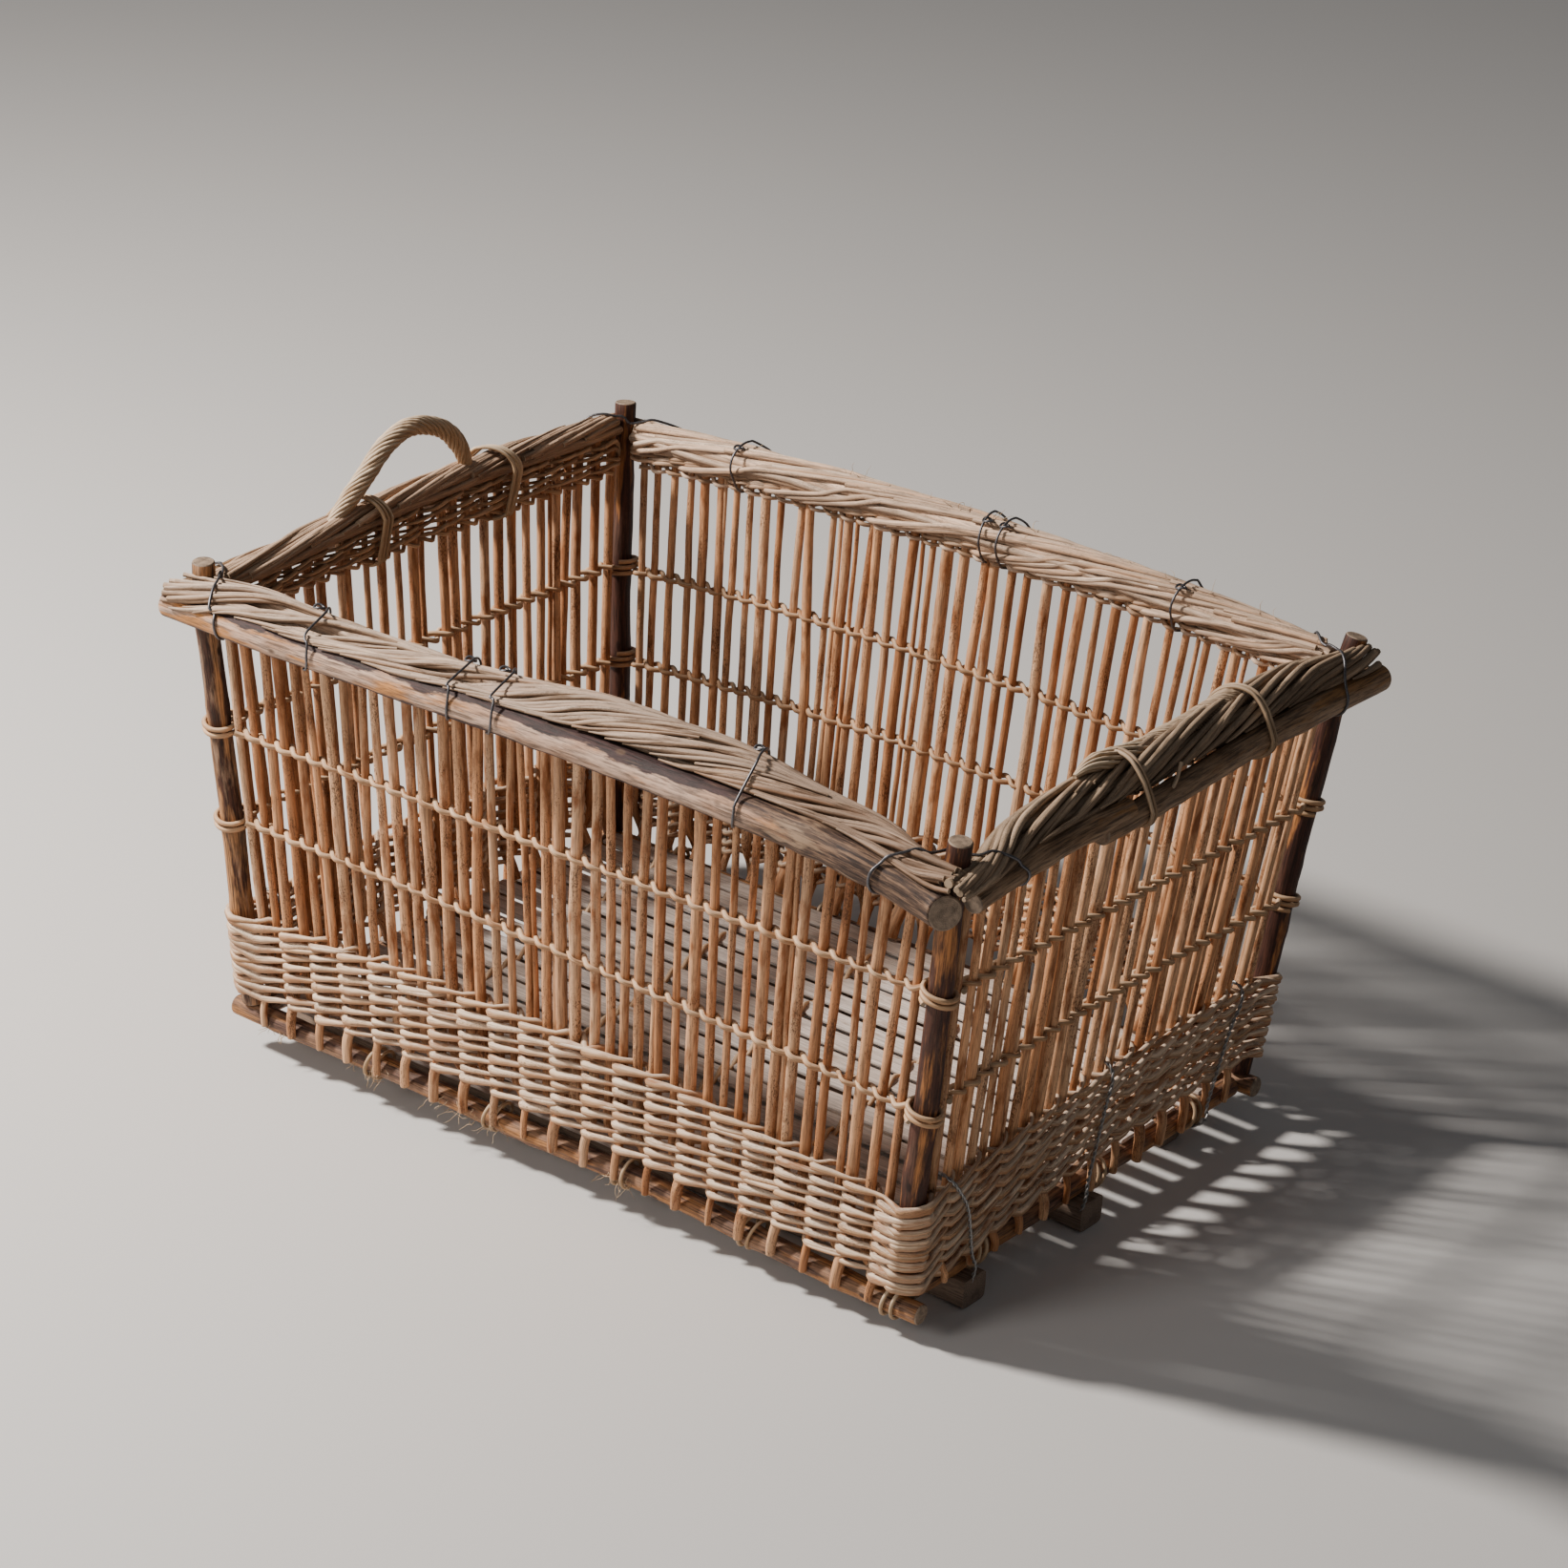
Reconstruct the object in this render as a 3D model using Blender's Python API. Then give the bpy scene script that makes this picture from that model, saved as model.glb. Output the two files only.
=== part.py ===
"""A large openwork willow basket on three runners, with a pole rim and two rope handles.

Every length is in metres. X runs along the long side, Y from front to back and Z up.
The origin is the middle of the footprint, on the ground.
"""

import math

import bmesh
import bpy
from mathutils import Vector

# Overall size, from post centre to post centre
RIM_LENGTH = 1.000
RIM_WIDTH = 0.721
BASE_LENGTH = 0.896
BASE_WIDTH = 0.636

# Clearances: GAP between pieces that touch, EASE where a curved piece is faceted
GAP = 0.0003
EASE = 0.0006

# Runners, base poles, posts and rim poles. POST_STAND is how far a post stands above the border
RUNNER_WIDTH = 0.042
RUNNER_HEIGHT = 0.034
RUNNER_OVERHANG = 0.022
RUNNER_SPACING = 0.217
HIDDEN_RUNNER_INSET = 0.018
BASE_POLE_RADIUS = 0.012
BASE_POLE_OVERHANG = 0.026
POST_RADIUS = 0.0135
POST_STAND = 0.0149
RIM_POLE_RADIUS = 0.0195
RIM_POLE_LONG_END = 0.045
RIM_POLE_FAR_END = 0.030
RIM_POLE_NEAR_END = 0.010

# Stakes, and the feet in which every second one ends
LONG_STAKE_COUNT = 41
SHORT_STAKE_COUNT = 27
STAKE_RADIUS = 0.0052
STAKE_SIDE_COUNT = 4
STAKE_TURN_SHARE = 0.15
FOOT_RADIUS = 0.0050

# The lower weave: rows of rods over the stakes, higher in the middle of a side
LOWER_WEAVE_LIFT = 0.0034
LOWER_WEAVE_HEIGHT = 0.1000
LOWER_WEAVE_RISE = 0.018
LOWER_ROW_COUNT = 8
WEAVE_HALF = 0.0155
WEAVE_GROOVE = 0.0040
CUFF_RADIUS = 0.0235

# The top weave, the border on it and how far they rise in the middle of a side
TOP_WEAVE_BOTTOM = 0.5150
TOP_WEAVE_HEIGHT = 0.0215
TOP_WEAVE_HALF = 0.0130
TOP_ROW_COUNT = 2
RIM_RISE = 0.020
BORDER_HALF_WIDTH = 0.025
BORDER_HALF_HEIGHT = 0.0175
BORDER_NEAR_END = 0.040
BORDER_FAR_END = 0.030
BORDER_RIDE_SHARE = 0.75
BORDER_TIP_SHARE = 0.85

# The two paired rows that cross the open part of each wall
PAIR_RADIUS = 0.0030
UPPER_PAIR_HEIGHT = 0.402
LOWER_PAIR_HEIGHT = 0.277
PAIR_RISE = 0.006
PAIR_WRAP_COUNT = 2

# Floor: split laths lengthwise, held by paired rows that run a little askew
LATH_COUNT = 16
LATH_GAP = 0.0050
LATH_THICKNESS = 0.0055
FLOOR_ROW_COUNT = 5
FLOOR_ROW_PITCH = 0.167
FLOOR_ROW_SHIFT = 0.0235
FLOOR_ROW_SKEW_SHARE = -0.14
FLOOR_ROW_WIDTH = 0.0100
FLOOR_ROW_STAND = 0.0025
FLOOR_ROW_CREST_SHARE = 0.5

# Rope handles on the short sides and the lashings that hold them
ROPE_RADIUS = 0.0140
LASHING_RADIUS = 0.0042
LEFT_HANDLE_SPAN = 0.215
LEFT_HANDLE_HEIGHT = 0.059
LEFT_HANDLE_SHIFT = 0.030
RIGHT_HANDLE_SPAN = 0.290
RIGHT_HANDLE_HEIGHT = 0.008
RIGHT_HANDLE_SHIFT = 0.030

# Wire
WIRE_RADIUS = 0.0012
RIM_TIE_SHARES = {"front": (-0.74, -0.28, -0.19, 0.54), "back": (-0.62, -0.12, -0.065, 0.69)}
CORNER_TIE_REACH = 0.080
CORNER_TIE_TURN_SHARES = ((-0.50, 1.00), (-0.25, 0.99), (0.0, 0.97), (0.25, 0.94), (0.44, 0.88))
CORNER_TIE_TOP_SHARE = 0.75
CORNER_TIE_ACROSS_SHARE = 0.4
RUNNER_TIE_HEIGHT = 0.012

SPAN_COUNT = 4
STEEP_SHARE = 0.8
BASE_POLE_SIDE_COUNT = 8
SIDES = ("front", "right", "back", "left")
RUNNER_LENGTH = BASE_LENGTH + 2 * RUNNER_OVERHANG
HIDDEN_RUNNER_LENGTH = BASE_LENGTH - 2 * HIDDEN_RUNNER_INSET
BASE_POLE_HEIGHT = RUNNER_HEIGHT + GAP + BASE_POLE_RADIUS
FLOOR_BOTTOM = BASE_POLE_HEIGHT + BASE_POLE_RADIUS + GAP
FLOOR_TOP = FLOOR_BOTTOM + LATH_THICKNESS
LOWER_WEAVE_BOTTOM = FLOOR_TOP + LOWER_WEAVE_LIFT
BORDER_BOTTOM = TOP_WEAVE_BOTTOM + TOP_WEAVE_HEIGHT + EASE
POST_TOP = BORDER_BOTTOM + 2 * BORDER_HALF_HEIGHT + POST_STAND
PAIR_LIFT = PAIR_RADIUS + EASE
WRAP_RADIUS = (POST_RADIUS + PAIR_RADIUS + GAP) / math.cos(math.pi / 8)
END_MARGIN = max(CUFF_RADIUS, WRAP_RADIUS + PAIR_RADIUS) + STAKE_RADIUS + EASE
RIM_POLE_OFFSET = max(POST_RADIUS, TOP_WEAVE_HALF) + RIM_POLE_RADIUS + GAP

BARK = (0.105, 0.062, 0.045, 1.0)
WEATHERED = (0.420, 0.350, 0.300, 1.0)
WILLOW = (0.430, 0.245, 0.125, 1.0)
PEELED = (0.560, 0.450, 0.330, 1.0)
GREY_WILLOW = (0.300, 0.240, 0.190, 1.0)
SAWN = (0.290, 0.225, 0.165, 1.0)
IRON = (0.095, 0.095, 0.100, 1.0)


def clear_scene():
    for obj in list(bpy.data.objects):
        bpy.data.objects.remove(obj, do_unlink=True)


def material(name, colour, roughness, metallic=0.0):
    made = bpy.data.materials.new(name)
    made.use_nodes = True
    shader = made.node_tree.nodes["Principled BSDF"]
    shader.inputs["Base Color"].default_value = colour
    shader.inputs["Roughness"].default_value = roughness
    shader.inputs["Metallic"].default_value = metallic
    return made


def add_object(name, vertices, faces, colour, roughness=0.8, metallic=0.0):
    """A mesh object with outward faces and its own material."""
    mesh = bpy.data.meshes.new(name)
    mesh.from_pydata([tuple(v) for v in vertices], [], faces)
    work = bmesh.new()
    work.from_mesh(mesh)
    bmesh.ops.recalc_face_normals(work, faces=work.faces)
    work.to_mesh(mesh)
    work.free()
    obj = bpy.data.objects.new(name, mesh)
    bpy.context.scene.collection.objects.link(obj)
    obj.data.materials.append(material(name + "_material", colour, roughness, metallic))
    return obj


def merged(shapes):
    """Several (vertices, faces) as one list of each."""
    vertices = []
    faces = []
    for more_vertices, more_faces in shapes:
        start = len(vertices)
        vertices.extend(more_vertices)
        faces.extend(tuple(start + i for i in face) for face in more_faces)
    return vertices, faces


def helper(name, shape):
    """A mesh that only joins or cuts another one."""
    obj = add_object(name, *shape, BARK)
    obj.hide_render = True
    obj.display_type = "WIRE"
    return obj


def combine(obj, other, operation):
    modifier = obj.modifiers.new(other.name, "BOOLEAN")
    modifier.operation = operation
    modifier.solver = "EXACT"
    modifier.object = other


# Where things are


def lean(base, rim, z):
    share = (z - BASE_POLE_HEIGHT) / (POST_TOP - BASE_POLE_HEIGHT)
    return (base + (rim - base) * share) / 2


def half_length(z):
    return lean(BASE_LENGTH, RIM_LENGTH, z)


def half_width(z):
    return lean(BASE_WIDTH, RIM_WIDTH, z)


def along(side, z):
    """Half the distance between the two posts of a side, at one height."""
    return half_length(z) if side in ("front", "back") else half_width(z)


def place(side, u, v, z):
    """A point of a side: u to the right seen from outside, v outwards from the stakes."""
    if side == "front":
        return Vector((u, -half_width(z) - v, z))
    if side == "back":
        return Vector((-u, half_width(z) + v, z))
    if side == "right":
        return Vector((half_length(z) + v, u, z))
    return Vector((-half_length(z) - v, -u, z))


def at_share(side, share, v, z):
    """The same, with u as a share of the way to the last stake."""
    return place(side, share * (along(side, z) - END_MARGIN), v, z)


def rise(share, height):
    """How far a row is above its ends: straight pieces of one arc, so that rows meet."""
    share = min(abs(share), 1.0)
    step = 2 / SPAN_COUNT
    first = math.floor(share / step) * step
    low = 1 - first**2
    high = 1 - min(first + step, 1.0) ** 2
    return height * (low + (high - low) * (share - first) / step)


def stake_count(side):
    return LONG_STAKE_COUNT if side in ("front", "back") else SHORT_STAKE_COUNT


def stake_share(side, index):
    return -1 + 2 * index / (stake_count(side) - 1)


def gap_share(side, share):
    """The middle of the gap between two stakes that is nearest to this share."""
    steps = stake_count(side) - 1
    index = math.floor((share + 1) / 2 * steps)
    return stake_share(side, min(max(index, 0), steps - 1) + 0.5)


def knots():
    return [-1 + 2 * i / SPAN_COUNT for i in range(SPAN_COUNT + 1)]


# Shapes


def rings_to_shape(rings):
    """A closed skin over rings with the same number of points."""
    size = len(rings[0])
    vertices = [point for ring in rings for point in ring]
    faces = []
    for r in range(len(rings) - 1):
        for i in range(size):
            j = (i + 1) % size
            faces.append((r * size + i, r * size + j, (r + 1) * size + j, (r + 1) * size + i))
    faces.append(tuple(range(size)))
    faces.append(tuple(range((len(rings) - 1) * size, len(rings) * size)))
    return vertices, faces


def tube(points, radius, sides, closed=False):
    """A tube along a path, its section carried round the bends without twist."""
    points = [Vector(p) for p in points]
    count = len(points)
    rings = []
    normal = None
    for i, point in enumerate(points):
        before = points[i - 1] if i or closed else point
        after = points[(i + 1) % count] if i < count - 1 or closed else point
        tangent = (after - before).normalized()
        if normal is None:
            guide = Vector((0, 0, 1)) if abs(tangent.z) < STEEP_SHARE else Vector((1, 0, 0))
            normal = guide - tangent * guide.dot(tangent)
        normal = (normal - tangent * normal.dot(tangent)).normalized()
        binormal = tangent.cross(normal)
        here = radius[i] if isinstance(radius, (list, tuple)) else radius
        turns = [2 * math.pi * (k + 0.5) / sides for k in range(sides)]
        rings.append([point + (normal * math.cos(a) + binormal * math.sin(a)) * here for a in turns])
    if not closed:
        return rings_to_shape(rings)
    vertices, faces = rings_to_shape(rings)
    faces = faces[:-2]
    last = (count - 1) * sides
    for k in range(sides):
        j = (k + 1) % sides
        faces.append((last + k, last + j, j, k))
    return vertices, faces


def box(low, high):
    corners = [(x, y, z) for z in (low[2], high[2]) for y in (low[1], high[1]) for x in (low[0], high[0])]
    faces = [(0, 1, 3, 2), (4, 5, 7, 6), (0, 1, 5, 4), (2, 3, 7, 6), (0, 2, 6, 4), (1, 3, 7, 5)]
    return [Vector(c) for c in corners], faces


def post_axis(side_x, side_y, z):
    return Vector((side_x * half_length(z), side_y * half_width(z), z))


def post_shape(side_x, side_y, low, high, radius, sides):
    """A length of a corner post, level at both ends."""
    rings = []
    for z in (low, high):
        centre = post_axis(side_x, side_y, z)
        turns = [2 * math.pi * (k + 0.5) / sides for k in range(sides)]
        rings.append([centre + Vector((math.cos(a), math.sin(a), 0)) * radius for a in turns])
    return rings_to_shape(rings)


def ribbed_profile(half, groove, low, high, rows):
    """The outline of a woven band, one rib a row on its outer face."""
    step = (high - low) / rows
    outer = []
    for row in range(rows):
        outer.append((half - groove, low + row * step))
        outer.append((half, low + (row + 0.5) * step))
    outer.append((half - groove, high))
    return outer + [(-half, high), (-half, low)]


def band_shape(side, profile, end, height):
    """A profile swept from post to post: level past the last stakes, higher in the middle."""
    stops = [(-1, end, 0)]
    stops += [(share, END_MARGIN, rise(share, height)) for share in knots()]
    stops.append((1, end, 0))
    rings = []
    for share, margin, lift in stops:
        rings.append([place(side, share * (along(side, z + lift) - margin), v, z + lift) for v, z in profile])
    return rings_to_shape(rings)


# The pieces, from the ground up


def add_runners():
    names = ("runner_front", "runner_middle", "runner_back")
    lengths = (RUNNER_LENGTH, RUNNER_LENGTH, HIDDEN_RUNNER_LENGTH)
    for name, place_y, length in zip(names, (-1, 0, 1), lengths):
        y = place_y * RUNNER_SPACING
        low = (-length / 2, y - RUNNER_WIDTH / 2, 0)
        high = (length / 2, y + RUNNER_WIDTH / 2, RUNNER_HEIGHT)
        add_object(name, *box(low, high), SAWN, 0.85)


def add_base_poles():
    z = BASE_POLE_HEIGHT
    for side in SIDES:
        reach = along(side, z) + BASE_POLE_OVERHANG
        if side in ("left", "right"):
            reach = along(side, z) - BASE_POLE_RADIUS - EASE
        path = [place(side, -reach, 0, z), place(side, reach, 0, z)]
        radius = BASE_POLE_RADIUS / math.cos(math.pi / BASE_POLE_SIDE_COUNT)
        add_object("base_pole_" + side, *tube(path, radius, BASE_POLE_SIDE_COUNT), BARK, 0.75)


def add_posts():
    low = FLOOR_BOTTOM
    for side_x, name_x in ((-1, "left"), (1, "right")):
        for side_y, name_y in ((-1, "front"), (1, "back")):
            shape = post_shape(side_x, side_y, low, POST_TOP, POST_RADIUS, 12)
            add_object("post_" + name_y + "_" + name_x, *shape, BARK, 0.75)


def add_floor():
    width = 2 * half_width(FLOOR_BOTTOM)
    pitch = (width - POST_RADIUS) / LATH_COUNT
    length = half_length(FLOOR_BOTTOM)
    laths = []
    for i in range(LATH_COUNT):
        y = (i - (LATH_COUNT - 1) / 2) * pitch
        reach = length
        if abs(y) + pitch / 2 > width / 2 - POST_RADIUS - EASE:
            reach = length - POST_RADIUS - EASE
        half = (pitch - LATH_GAP) / 2
        laths.append(box((-reach, y - half, FLOOR_BOTTOM), (reach, y + half, FLOOR_TOP)))
    floor = add_object("floor", *laths[0], SAWN, 0.85)
    rest = helper("floor_laths", merged(laths[1:]))
    combine(floor, rest, "UNION")
    middle = (FLOOR_BOTTOM + FLOOR_TOP) / 2
    crest = FLOOR_TOP + FLOOR_ROW_STAND
    rows = []
    reach = width / 2 - BASE_POLE_RADIUS - FLOOR_ROW_WIDTH
    for i in range(FLOOR_ROW_COUNT):
        x = FLOOR_ROW_SHIFT + (i - (FLOOR_ROW_COUNT - 1) / 2) * FLOOR_ROW_PITCH
        rings = []
        for y in (-reach, reach):
            centre = x + FLOOR_ROW_SKEW_SHARE * y
            across = FLOOR_ROW_WIDTH / 2
            over = across * FLOOR_ROW_CREST_SHARE
            ring = [(centre - across, y, middle), (centre + across, y, middle)]
            ring += [(centre + over, y, crest), (centre - over, y, crest)]
            rings.append([Vector(p) for p in ring])
        rows.append(rings_to_shape(rings))
    combine(floor, helper("floor_rows", merged(rows)), "UNION")


def stake_shape(side, share):
    low = LOWER_WEAVE_BOTTOM + LOWER_WEAVE_HEIGHT / 2
    high = TOP_WEAVE_BOTTOM + rise(share, RIM_RISE) - 2 * EASE
    rings = []
    for z in (low, high):
        centre = at_share(side, share, 0, z)
        turns = [2 * math.pi * (k + STAKE_TURN_SHARE) / STAKE_SIDE_COUNT for k in range(STAKE_SIDE_COUNT)]
        rings.append([centre + Vector((math.cos(a), math.sin(a), 0)) * STAKE_RADIUS for a in turns])
    return rings_to_shape(rings)


def foot_shape(side, share):
    """The end of a stake, outside the base pole."""
    high = LOWER_WEAVE_BOTTOM + rise(share, LOWER_WEAVE_RISE) + LOWER_WEAVE_HEIGHT / LOWER_ROW_COUNT
    low = RUNNER_HEIGHT + EASE
    out = BASE_POLE_RADIUS + FOOT_RADIUS + EASE
    top_out = WEAVE_HALF - WEAVE_GROOVE - FOOT_RADIUS / 2
    path = [at_share(side, share, out, low), at_share(side, share, out, FLOOR_BOTTOM)]
    path.append(at_share(side, share, top_out, high))
    rings = []
    for point in path:
        turns = [2 * math.pi * (k + 0.5) / 4 for k in range(4)]
        rings.append([point + Vector((math.cos(a), math.sin(a), 0)) * FOOT_RADIUS for a in turns])
    return rings_to_shape(rings)


def add_walls():
    """The stakes of each side with the lower weave that holds them."""
    low = LOWER_WEAVE_BOTTOM
    high = low + LOWER_WEAVE_HEIGHT
    profile = ribbed_profile(WEAVE_HALF, WEAVE_GROOVE, low, high, LOWER_ROW_COUNT)
    for side in SIDES:
        is_long = side in ("front", "back")
        end = 0 if is_long else CUFF_RADIUS + EASE
        wall = add_object("wall_" + side, *band_shape(side, profile, end, LOWER_WEAVE_RISE), WILLOW)
        count = stake_count(side)
        rods = [stake_shape(side, stake_share(side, i)) for i in range(count)]
        combine(wall, helper("stakes_" + side, merged(rods)), "UNION")
        first = (count // 2) % 2
        feet = [foot_shape(side, stake_share(side, i)) for i in range(first, count, 2)]
        combine(wall, helper("feet_" + side, merged(feet)), "UNION")
        if not is_long:
            continue
        side_y = -1 if side == "front" else 1
        for side_x, name in ((-1, "left"), (1, "right")):
            cuff = post_shape(side_x, side_y, low, high, CUFF_RADIUS, 12)
            combine(wall, helper("cuff_" + side + "_" + name, cuff), "UNION")
            hole_radius = (POST_RADIUS + GAP) / math.cos(math.pi / 12)
            hole = post_shape(side_x, side_y, low - CUFF_RADIUS, high + CUFF_RADIUS, hole_radius, 12)
            combine(wall, helper("cuff_hole_" + side + "_" + name, hole), "DIFFERENCE")


def pair_offset(side, z):
    """How far the strands swing to pass the stakes, from the pitch at that height."""
    pitch = 2 * (along(side, z) - END_MARGIN) / (stake_count(side) - 1)
    need = STAKE_RADIUS + PAIR_RADIUS + EASE
    return need / math.sqrt(1 - (2 * need / pitch) ** 2)


def add_pairs():
    """Two strands a side: out along one, twice round the post and back along the other."""
    for level, height in (("upper", UPPER_PAIR_HEIGHT), ("lower", LOWER_PAIR_HEIGHT)):
        for side in SIDES:
            count = stake_count(side)
            swing = pair_offset(side, height)
            out = []
            back = []
            for i in range(count):
                share = stake_share(side, i)
                z = height + rise(share, PAIR_RISE)
                sign = 1 if (count - 1 - i) % 2 == 0 else -1
                out.append(at_share(side, share, sign * swing, z + PAIR_LIFT))
                back.append(at_share(side, share, -sign * swing, z - PAIR_LIFT))
            first = math.radians(45)
            last = 2 * math.pi * PAIR_WRAP_COUNT - first
            steps = 8 * PAIR_WRAP_COUNT - 2
            drop = 2 * (PAIR_RADIUS + EASE) * (last - first) / (2 * math.pi)
            wrap = []
            for k in range(steps + 1):
                angle = first + (last - first) * k / steps
                z = height + drop * (0.5 - k / steps)
                u = along(side, z) - WRAP_RADIUS * math.cos(angle)
                wrap.append(place(side, u, WRAP_RADIUS * math.sin(angle), z))
            path = out + wrap + back[::-1]
            add_object("pairing_" + level + "_" + side, *tube(path, PAIR_RADIUS, 4), PEELED, 0.7)


def add_top_weave():
    low = TOP_WEAVE_BOTTOM
    high = low + TOP_WEAVE_HEIGHT
    profile = ribbed_profile(TOP_WEAVE_HALF, WEAVE_GROOVE / 2, low, high, TOP_ROW_COUNT)
    for side in SIDES:
        shape = band_shape(side, profile, POST_RADIUS + EASE, RIM_RISE)
        add_object("top_weave_" + side, *shape, GREY_WILLOW)


def border_height():
    """The middle of the border at its ends, just clear of the top weave."""
    return BORDER_BOTTOM + BORDER_HALF_HEIGHT


def support(half_width_, half_height, angle):
    return math.hypot(half_width_ * math.cos(angle), half_height * math.sin(angle))


def rim_pole_height():
    """As high as the pole can sit outside the border without pressing into it."""
    drop = 0.0
    step = EASE
    while True:
        best = -1.0
        for k in range(91):
            angle = math.radians(k)
            apart = RIM_POLE_OFFSET * math.cos(angle) + drop * math.sin(angle)
            apart -= support(BORDER_HALF_WIDTH, BORDER_HALF_HEIGHT, angle) + RIM_POLE_RADIUS
            best = max(best, apart)
        if best > EASE:
            return border_height() - drop
        drop += step


def span_path(side, v, z, left, right):
    """Points of a rim piece, its ends left and right beyond the posts."""
    path = [place(side, -along(side, z) - left, v, z)]
    for share in knots():
        path.append(at_share(side, share, v, z + rise(share, RIM_RISE)))
    path.append(place(side, along(side, z) + right, v, z))
    return path


def border_ring(side, u, low, high, width_share):
    """A section of the border between two heights."""
    turns = [2 * math.pi * k / 12 for k in range(12)]
    middle = (low + high) / 2
    half = (high - low) / 2
    wide = BORDER_HALF_WIDTH * width_share
    centre = place(side, u, 0, middle)
    outward = place(side, u, 1, middle) - centre
    return [centre + outward * wide * math.cos(a) + Vector((0, 0, half * math.sin(a))) for a in turns]


def border_end(side, sign, end):
    """From the tip inwards: the rods ride over the rim pole that crosses below them."""
    z = border_height()
    low = z - BORDER_HALF_HEIGHT
    high = z + BORDER_HALF_HEIGHT
    pole_top = rim_pole_height() + RIM_POLE_RADIUS + 2 * EASE
    ride = RIM_POLE_OFFSET * BORDER_RIDE_SHARE
    post = along(side, z)
    rings = [border_ring(side, sign * (post + end), pole_top, high, BORDER_TIP_SHARE)]
    if end > ride:
        rings.append(border_ring(side, sign * (post + ride), pole_top, high, 1.0))
    rings.append(border_ring(side, sign * post, low, high, 1.0))
    return rings


def add_borders():
    z = border_height()
    low = z - BORDER_HALF_HEIGHT
    high = z + BORDER_HALF_HEIGHT
    for side in SIDES:
        is_long = side in ("front", "back")
        rings = []
        for share in knots():
            lift = rise(share, RIM_RISE)
            u = share * (along(side, z + lift) - END_MARGIN)
            rings.append(border_ring(side, u, low + lift, high + lift, 1.0))
        if is_long:
            near = BORDER_NEAR_END if side == "front" else BORDER_FAR_END
            rings = border_end(side, -1, near) + rings + border_end(side, 1, BORDER_FAR_END)[::-1]
        else:
            end = along(side, z) - BORDER_HALF_WIDTH - 2 * EASE
            rings[0] = border_ring(side, -end, low, high, 1.0)
            rings[-1] = border_ring(side, end, low, high, 1.0)
        border = add_object("border_" + side, *rings_to_shape(rings), WEATHERED, 0.85)
        if not is_long:
            continue
        side_y = -1 if side == "front" else 1
        for side_x, name in ((-1, "left"), (1, "right")):
            hole_radius = (POST_RADIUS + GAP) / math.cos(math.pi / 12)
            hole_low = low - BORDER_HALF_HEIGHT
            hole_high = POST_TOP + BORDER_HALF_HEIGHT
            hole = post_shape(side_x, side_y, hole_low, hole_high, hole_radius, 12)
            combine(border, helper("border_hole_" + side + "_" + name, hole), "DIFFERENCE")


def add_rim_poles():
    z = rim_pole_height()
    short = RIM_POLE_OFFSET - RIM_POLE_RADIUS - 2 * EASE
    ends = {
        "front": (RIM_POLE_LONG_END, short),
        "back": (short, RIM_POLE_LONG_END),
        "right": (min(RIM_POLE_NEAR_END, short), RIM_POLE_FAR_END),
        "left": (short, short),
    }
    for side in SIDES:
        path = span_path(side, RIM_POLE_OFFSET, z, *ends[side])
        add_object("rim_pole_" + side, *tube(path, RIM_POLE_RADIUS, 10), WEATHERED, 0.8)


def rim_loop(side, share, radius):
    """A loop round border, rim pole and top weave, between two stakes."""
    lift = rise(share, RIM_RISE)
    shapes = [(0, border_height() + lift, BORDER_HALF_WIDTH, BORDER_HALF_HEIGHT)]
    shapes.append((RIM_POLE_OFFSET, rim_pole_height() + lift, RIM_POLE_RADIUS, RIM_POLE_RADIUS))
    low = TOP_WEAVE_BOTTOM + lift
    for v in (-TOP_WEAVE_HALF, TOP_WEAVE_HALF):
        shapes.append((v, low, 0, 0))
    clear = radius + 2 * EASE
    sides = 12
    lines = []
    for k in range(sides):
        angle = 2 * math.pi * k / sides
        reach = [v * math.cos(angle) + z * math.sin(angle) + support(a, b, angle) for v, z, a, b in shapes]
        lines.append((angle, max(reach) + clear))
    points = []
    for k in range(sides):
        a1, h1 = lines[k]
        a2, h2 = lines[(k + 1) % sides]
        det = math.sin(a2 - a1)
        v = (h1 * math.sin(a2) - h2 * math.sin(a1)) / det
        z = (h2 * math.cos(a1) - h1 * math.cos(a2)) / det
        points.append(at_share(side, share, v, z))
    return points


def add_handles():
    specs = (
        ("left", LEFT_HANDLE_SPAN, LEFT_HANDLE_HEIGHT, LEFT_HANDLE_SHIFT),
        ("right", RIGHT_HANDLE_SPAN, RIGHT_HANDLE_HEIGHT, RIGHT_HANDLE_SHIFT),
    )
    for side, span, height, shift in specs:
        full = along(side, border_height()) - END_MARGIN
        first = gap_share(side, (shift - span / 2) / full)
        last = gap_share(side, (shift + span / 2) / full)
        path = []
        steps = 12
        radii = [ROPE_RADIUS if 0 < k < steps else LASHING_RADIUS for k in range(steps + 1)]
        for k, radius in enumerate(radii):
            angle = math.pi * k / steps
            share = (first + last) / 2 - (last - first) / 2 * math.cos(angle)
            seat = border_height() + rise(share, RIM_RISE) + BORDER_HALF_HEIGHT + 2 * EASE
            path.append(at_share(side, share, 0, seat + radius + height * math.sin(angle)))
        handle = add_object("handle_" + side, *tube(path, radii, 8), PEELED, 0.7)
        for name, share in (("near", first), ("far", last)):
            loop = tube(rim_loop(side, share, LASHING_RADIUS), LASHING_RADIUS, 6, closed=True)
            combine(handle, helper("lashing_" + side + "_" + name, loop), "UNION")


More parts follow.
